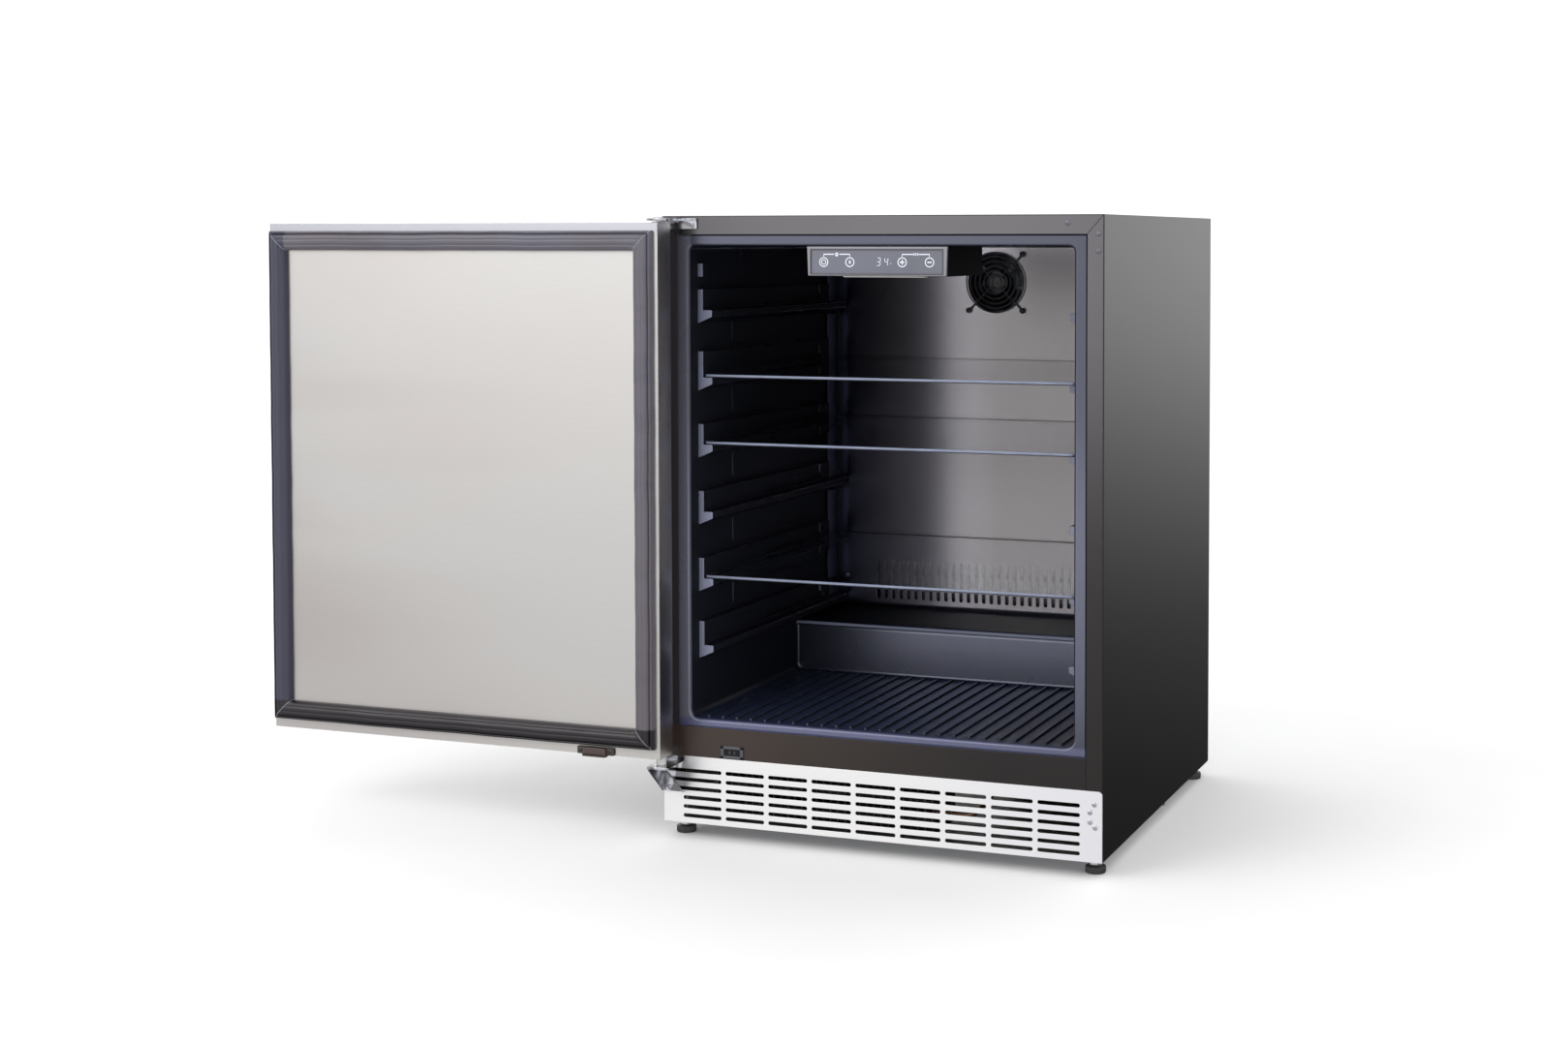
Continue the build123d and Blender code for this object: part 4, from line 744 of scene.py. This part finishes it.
# --- Fans -------------------------------------------------------------------------------
def fan_blade(name, lead):
    """One swept blade of a rotor, turned by its lead about the axis: two skins and a rim."""
    along = 9
    across = 8
    root, reach = 16.0, 25.4
    vertices = []
    for skin in (-1, 1):
        for i in range(along + 1):
            t = i / along
            r = (root + reach * t) * MM
            for j in range(across + 1):
                s = j / across
                sweep = 0.35 * t ** 1.4
                turn = lead + sweep + (s - 0.5) * (0.78 - 0.10 * t)
                thick = 0.6 * MM * (1 - (2 * s - 1) ** 2) + 0.12 * MM
                camber = 1.2 * MM * math.sin(math.pi * s)
                height = 2.0 * MM + 9.0 * MM * s - camber + skin * thick / 2
                vertices.append((r * math.cos(turn), r * math.sin(turn), height))
    faces = []
    step = across + 1
    half = (along + 1) * step
    for i in range(along):
        for j in range(across):
            a = i * step + j
            faces.append((a, a + 1, a + step + 1, a + step))
            b = half + a
            faces.append((b, b + step, b + step + 1, b + 1))
    rim = list(range(step)) + [i * step + across for i in range(1, along + 1)]
    rim += [along * step + j for j in range(across - 1, -1, -1)]
    rim += [i * step for i in range(along - 1, 0, -1)]
    for a, b in zip(rim, rim[1:] + rim[:1]):
        faces.append((a, half + a, half + b, b))
    return mesh_object(name, vertices, faces, 40)


def fan_rotor(name, node, body):
    """A hub with seven swept blades and a pressed ring on its face."""
    low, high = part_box(node)
    depth = 13
    blades = 7
    # Radius and height in millimetres.
    hub_profile = (
        (1.0, 0.0), (16.0, 0.0), (17.0, 1.2), (17.0, 12.2), (16.0, depth), (13.2, depth), (12.8, 12.6),
        (12.4, 12.6), (12.0, depth), (3.0, depth), (2.6, 12.6), (0.6, 12.6),
    )
    parts = [lathe(f"{name}_hub", [(radius * MM, height * MM) for radius, height in hub_profile], 64)]
    for blade in range(blades):
        parts.append(fan_blade(f"{name}_blade_{blade}", TURN * blade / blades))
    whole = join(name, parts)
    whole.data.materials.append(LOOKS["fan_black"])
    place(whole, middle(low, high, 0), low[1] + depth * MM, middle(low, high, 2))
    shade(whole, 38)
    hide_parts(node)
    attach(whole, body)


fan_rotor("rotor_evaporator", "evaporator_fan_rotor", "evaporator_fan")
fan_rotor("rotor_condenser", "condenser_fan_rotor", "condenser_fan")


# --- Levelling feet ------------------------------------------------------------------------
def knurl(turn, height):
    """The glide's ribs, as a factor on its radius."""
    ribbed = 1.5 * MM < height < 8.0 * MM
    return 1.0 - (0.035 * (0.5 + 0.5 * math.cos(36 * turn)) if ribbed else 0.0)


def hexagon(turn, _height):
    """A hexagon's outline, as a factor on the radius of its corners."""
    side = math.pi / 3
    return math.cos(side / 2) / math.cos((turn % side) - side / 2)


def levelling_foot(name, node, body):
    """A knurled nylon glide under a zinc jam nut and a threaded stud."""
    low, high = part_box(node)
    outer = (high[0] - low[0]) / 2
    nut_base = 10.5 * MM
    nut_top = 18 * MM
    pitch = 1.25 * MM
    glide = lathe(f"{name}_glide", [
        (0.5 * MM, 0), (outer - 1.6 * MM, 0), (outer - 0.5 * MM, 0.5 * MM), (outer - 0.3 * MM, 1.2 * MM),
        (outer, 1.8 * MM), (outer, 7.6 * MM), (outer - 0.5 * MM, 8.4 * MM), (outer - 2.4 * MM, 9 * MM),
        (8.6 * MM, 9.2 * MM), (8.2 * MM, nut_base), (0.5 * MM, nut_base),
    ], 216, knurl, 30)
    nut = lathe(f"{name}_nut", [
        (4 * MM, nut_base), (8.6 * MM, nut_base), (9.0 * MM, 11.0 * MM), (9.0 * MM, 17.4 * MM),
        (8.4 * MM, nut_top), (4 * MM, nut_top),
    ], 72, hexagon, 25)
    top = high[2]
    thread = []
    for index in range(int((top - nut_top) / pitch)):
        z = nut_top + index * pitch
        thread += [(3.9 * MM, z + 0.15 * MM), (3.3 * MM, z + 0.8 * MM)]
    stud = lathe(f"{name}_stud", [(3.3 * MM, 17.8 * MM)] + thread + [(2.8 * MM, top)], 24)
    for part, look in ((glide, "foot_black"), (nut, "zinc"), (stud, "zinc")):
        part.data.materials.append(LOOKS[look])
    whole = join(name, [glide, nut, stud])
    whole.data.transform(Matrix.Translation((middle(low, high, 0), middle(low, high, 1), low[2])))
    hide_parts(node)
    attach(whole, body)


levelling_foot("glide_front_left", "foot_front_left", "foot_fl")
levelling_foot("glide_front_right", "foot_front_right", "foot_fr")
levelling_foot("glide_rear_left", "foot_rear_left", "foot_rl")
levelling_foot("glide_rear_right", "foot_rear_right", "foot_rr")


# --- Magnet block and door switch -------------------------------------------------------------
def magnet_block():
    """The magnet's moulded block on the door, with an ear at each end and a lip below."""
    low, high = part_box("door_magnet_block")
    x = middle(low, high, 0)
    half = 17 * MM
    lip_half = 15 * MM
    parts = [
        rounded_box("magnet_body", (x - half, low[1], low[2]), (x + half, high[1], high[2]), 1.2 * MM),
        rounded_box("magnet_ears", (low[0], high[1] - 4 * MM, low[2] + 2 * MM),
                    (high[0], high[1], high[2]), 1.4 * MM),
        rounded_box("magnet_lip", (x - lip_half, low[1], low[2] + 2.4 * MM),
                    (x + lip_half, low[1] + 3 * MM, low[2] + 4.0 * MM), 0.3 * MM),
    ]
    for part in parts:
        part.data.materials.append(LOOKS["magnet_brown"])
    whole = join("magnet_housing", parts)
    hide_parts("door_magnet_block")
    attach(whole, "door")


def door_switch():
    """The door switch's raised frame round a dark recess with two contact pins."""
    low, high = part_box("reed_switch")
    front = low[1]
    wall = 2.2 * MM
    rail = 3.6 * MM
    recess = 0.8 * rail
    edge = 0.5 * MM
    parts = [
        rounded_box("switch_top", (low[0], front, high[2] - rail), high, edge),
        rounded_box("switch_foot", (low[0], front, low[2]), (high[0], high[1], low[2] + rail), edge),
        rounded_box("switch_left", (low[0], front, low[2]), (low[0] + 2 * wall, high[1], high[2]), edge),
        rounded_box("switch_right", (high[0] - 2 * wall, front, low[2]), high, edge),
    ]
    for part in parts:
        part.data.materials.append(LOOKS["switch_grey"])
    floor = rounded_box("switch_floor", (low[0] + wall, high[1] - 0.8 * MM, low[2] + recess),
                        (high[0] - wall, high[1], high[2] - recess), 0.1 * MM, 1)
    floor.data.materials.append(LOOKS["housing_black"])
    z = middle(low, high, 2)
    for shift in (-3.5 * MM, 3.5 * MM):
        x = middle(low, high, 0) + shift
        pin = rounded_box("switch_pin", (x - 1.1 * MM, front + 0.5 * MM, z - 2.2 * MM),
                          (x + 1.1 * MM, high[1], z + 2.2 * MM), 0.3 * MM)
        pin.data.materials.append(LOOKS["screw_black"])
        parts.append(pin)
    whole = join("switch_housing", parts + [floor])
    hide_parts("reed_switch")
    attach(whole, "cabinet")


magnet_block()
door_switch()


# --- Panel icons -------------------------------------------------------------------------------
class Print:
    """Flat marks drawn with lines, as points (x, z) in millimetres and the faces between them."""

    def __init__(self):
        self.points = []
        self.faces = []

    def strip(self, points, width, closed=False):
        """A flat line of a given width through points."""
        count = len(points)
        start = len(self.points)
        for i, (x, z) in enumerate(points):
            before = points[i - 1] if closed or i else points[i]
            after = points[(i + 1) % count] if closed or i < count - 1 else points[i]
            dx = after[0] - before[0]
            dz = after[1] - before[1]
            length = math.hypot(dx, dz) or 1.0
            nx, nz = -dz / length * width / 2, dx / length * width / 2
            self.points.append((x + nx, z + nz))
            self.points.append((x - nx, z - nz))
        for i in range(count if closed else count - 1):
            a = start + 2 * i
            b = start + 2 * ((i + 1) % count)
            self.faces.append((a, a + 1, b + 1, b))

    def bar(self, x, z, half, width, upright=False):
        """A short straight line about a point."""
        across, up = (0, half) if upright else (half, 0)
        self.strip([(x - across, z - up), (x + across, z + up)], width)

    def ring(self, x, z, radius, width):
        """A round outline."""
        turns = [t * math.pi / 20 for t in range(40)]
        self.strip([(x + radius * math.cos(t), z + radius * math.sin(t)) for t in turns], width, True)

    def digit(self, x, z, height, lit):
        """A seven-segment digit: top, upper right, lower right, bottom, lower left, upper left, middle."""
        half_w = height * 0.22
        half_h = height / 2
        lean = 0.10
        gap = 0.10
        corner = {
            "tl": (-half_w, half_h), "tr": (half_w, half_h), "ml": (-half_w, 0), "mr": (half_w, 0),
            "bl": (-half_w, -half_h), "br": (half_w, -half_h),
        }
        bars = ("tl tr", "tr mr", "mr br", "bl br", "ml bl", "tl ml", "ml mr")
        for index in lit:
            a, b = (corner[key] for key in bars[index].split())
            ax, az = a[0] + (b[0] - a[0]) * gap, a[1] + (b[1] - a[1]) * gap
            bx, bz = b[0] + (a[0] - b[0]) * gap, b[1] + (a[1] - b[1]) * gap
            self.strip([(x + ax + lean * az, z + az), (x + bx + lean * bz, z + bz)], height * 0.07)


def panel_icons():
    """Printed marks on the touch panel: two pairs of round keys and a two-digit display."""
    low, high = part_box("control_glass")
    plane = low[1] - 0.06 * MM
    middle_z = middle(low, high, 2) - 0.4 * MM
    marks = Print()
    power, light, plus, minus = keys = (-71.6, -36.0, 34.6, 71.0)
    for x in keys:
        marks.ring(x, 0, 5.6, 0.95)
    marks.ring(power, 0, 2.8, 0.8)
    marks.bar(light, 0, 1.4, 2.2)
    marks.bar(light, 0, 2.2, 1.4, upright=True)
    marks.bar(plus, 0, 2.9, 1.4)
    marks.bar(plus, 0, 2.9, 1.4, upright=True)
    marks.bar(minus, 0, 2.9, 1.3)

    # A bracket over each pair of keys, open round its symbol.
    foot, shoulder, gap = 7.2, 9.9, 3.6
    for first, second in (keys[:2], keys[2:]):
        centre = (first + second) / 2
        marks.strip([(first, foot), (first, shoulder), (centre - gap, shoulder)], 1.1)
        marks.strip([(centre + gap, shoulder), (second, shoulder), (second, foot)], 1.1)
    left = sum(keys[:2]) / 2
    right = sum(keys[2:]) / 2
    marks.ring(left, shoulder, 1.6, 1.0)
    marks.bar(left, 7.6, 1.2, 0.8)
    for shift in (-2.4, 0.0, 2.4):
        marks.bar(right + shift, 10.0, 1.6, 1.0, upright=True)
    marks.digit(3.0, 0.6, 9.6, (0, 1, 2, 3, 6))
    marks.digit(13.2, 0.6, 9.6, (5, 6, 1, 2))
    marks.bar(19.5, -1.6, 0.5, 1.0)

    placed = [(x * MM, plane, middle_z + z * MM) for x, z in marks.points]
    piece = mesh_object("panel_marks", placed, marks.faces)
    solid = piece.modifiers.new("ink", "SOLIDIFY")
    solid.thickness = 0.05 * MM
    piece.data.materials.append(LOOKS["panel_icons"])
    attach(piece, "cabinet")


panel_icons()


# --- Stage, light and camera ---------------------------------------------------------------------
def studio_floor():
    """A pale floor just under the feet, which mirrors don't see."""
    bpy.ops.mesh.primitive_plane_add(size=60, location=(0, 0, -0.0002))
    floor = bpy.context.object
    floor.name = "studio_floor"
    pale = Surface("studio_floor", (0.90, 0.90, 0.90), 0.9)
    soft = pale.noise(3)
    pale.tint(pale.span(soft, 0.3, 0.7, 0.0, 1.0), (0.88, 0.88, 0.88))
    floor.data.materials.append(pale.material)
    floor.visible_glossy = False


def studio_sky():
    """A white sky that darkens towards the floor, more so behind the appliance than before it."""
    world = bpy.data.worlds.new("studio")
    scene.world = world
    world.use_nodes = True
    tree = world.node_tree
    tree.nodes.clear()
    link = tree.links.new

    def ranged(source, low, high):
        made = tree.nodes.new("ShaderNodeMapRange")
        made.inputs["From Min"].default_value = low
        made.inputs["From Max"].default_value = high
        link(source, made.inputs["Value"])
        return made.outputs["Result"]

    def ramp(source, stops):
        made = tree.nodes.new("ShaderNodeValToRGB")
        ramped = made.color_ramp
        while len(ramped.elements) < len(stops):
            ramped.elements.new(0.5)
        for element, (position, value) in zip(ramped.elements, stops):
            element.position = position
            element.color = (value, value, value, 1.0)
        link(source, made.inputs["Fac"])
        return made.outputs["Color"]

    split = tree.nodes.new("ShaderNodeSeparateXYZ")
    link(tree.nodes.new("ShaderNodeTexCoord").outputs["Generated"], split.inputs["Vector"])
    # Elevation from straight down (0) through the horizon (0.5) to straight up (1).
    up = ranged(split.outputs["Z"], -1.0, 1.0)
    behind = ramp(up, [(0.0, 0.14), (0.30, 0.08), (0.37, 0.01), (0.42, 0.09), (0.45, 0.35), (0.48, 0.80),
                       (0.50, 0.98), (1.0, 1.0)])
    ahead = ramp(up, [(0.0, 0.40), (0.36, 0.60), (0.44, 0.74), (0.50, 0.95), (0.60, 1.0), (1.0, 1.0)])
    mix = tree.nodes.new("ShaderNodeMix")
    mix.data_type = "RGBA"
    link(ranged(split.outputs["Y"], -0.35, 0.35), mix.inputs["Factor"])
    link(ahead, mix.inputs["A"])
    link(behind, mix.inputs["B"])
    light = tree.nodes.new("ShaderNodeBackground")
    light.inputs["Strength"].default_value = 1.2
    link(mix.outputs["Result"], light.inputs["Color"])
    output = tree.nodes.new("ShaderNodeOutputWorld")
    link(light.outputs["Background"], output.inputs["Surface"])


def softbox(name, centre, aim, size, power, colour=(1, 1, 1), receivers=None):
    """A rectangular area light aimed at a point, for the named nodes only if any are given."""
    data = bpy.data.lights.new(name, "AREA")
    data.shape = "RECTANGLE"
    data.size, data.size_y = size
    data.energy = power
    data.color = colour
    lamp = bpy.data.objects.new(name, data)
    scene.collection.objects.link(lamp)
    lamp.location = centre
    lamp.rotation_euler = (Vector(aim) - Vector(centre)).to_track_quat("-Z", "Y").to_euler()
    lamp.visible_camera = False
    if receivers:
        group = bpy.data.collections.new(f"{name}_lit")
        for node in receivers:
            group.objects.link(nodes[node])
        lamp.light_linking.receiver_collection = group


def lights():
    """One key light, and sheens that reach only the front frame or the liner."""
    frame_parts = ("frame_top_rail", "frame_left_stile", "frame_right_stile", "frame_bottom_rail")
    softbox("key", (-2.2, -3.2, 2.6), (-0.1, 0, 0.4), (2.2, 1.6), 45)
    softbox("frame_sheen", (-1.0, -3.2, 0.9), (0.0, -0.28, 0.8), (1.5, 1.25), 54,
            (0.95, 0.93, 1.0), frame_parts)
    softbox("liner_sheen", (-1.5, -3.2, 0.9), (0.0, 0.0, 0.4), (2.4, 2.4), 170,
            (0.88, 0.89, 1.0), ["liner"])
    softbox("liner_low", (-0.25, -0.9, 0.23), (-0.25, 0.0, 0.23), (0.9, 0.42), 8,
            (0.86, 0.87, 1.0), ["liner"])


def camera():
    """The photo's viewpoint: from the front right, a little below the top."""
    data = bpy.data.cameras.new("camera")
    data.sensor_width = 36
    data.lens = 50.73
    data.shift_x = -0.0988
    data.shift_y = -0.12
    data.clip_end = 100
    eye = bpy.data.objects.new("camera", data)
    scene.collection.objects.link(eye)
    eye.location = (1.01945, -2.86139, 0.77939)
    eye.rotation_euler = (math.radians(90 - 2.43), 0, math.radians(19.93))
    scene.camera = eye


studio_floor()
studio_sky()
lights()
camera()
scene.view_settings.view_transform = "Standard"
scene.view_settings.look = "None"
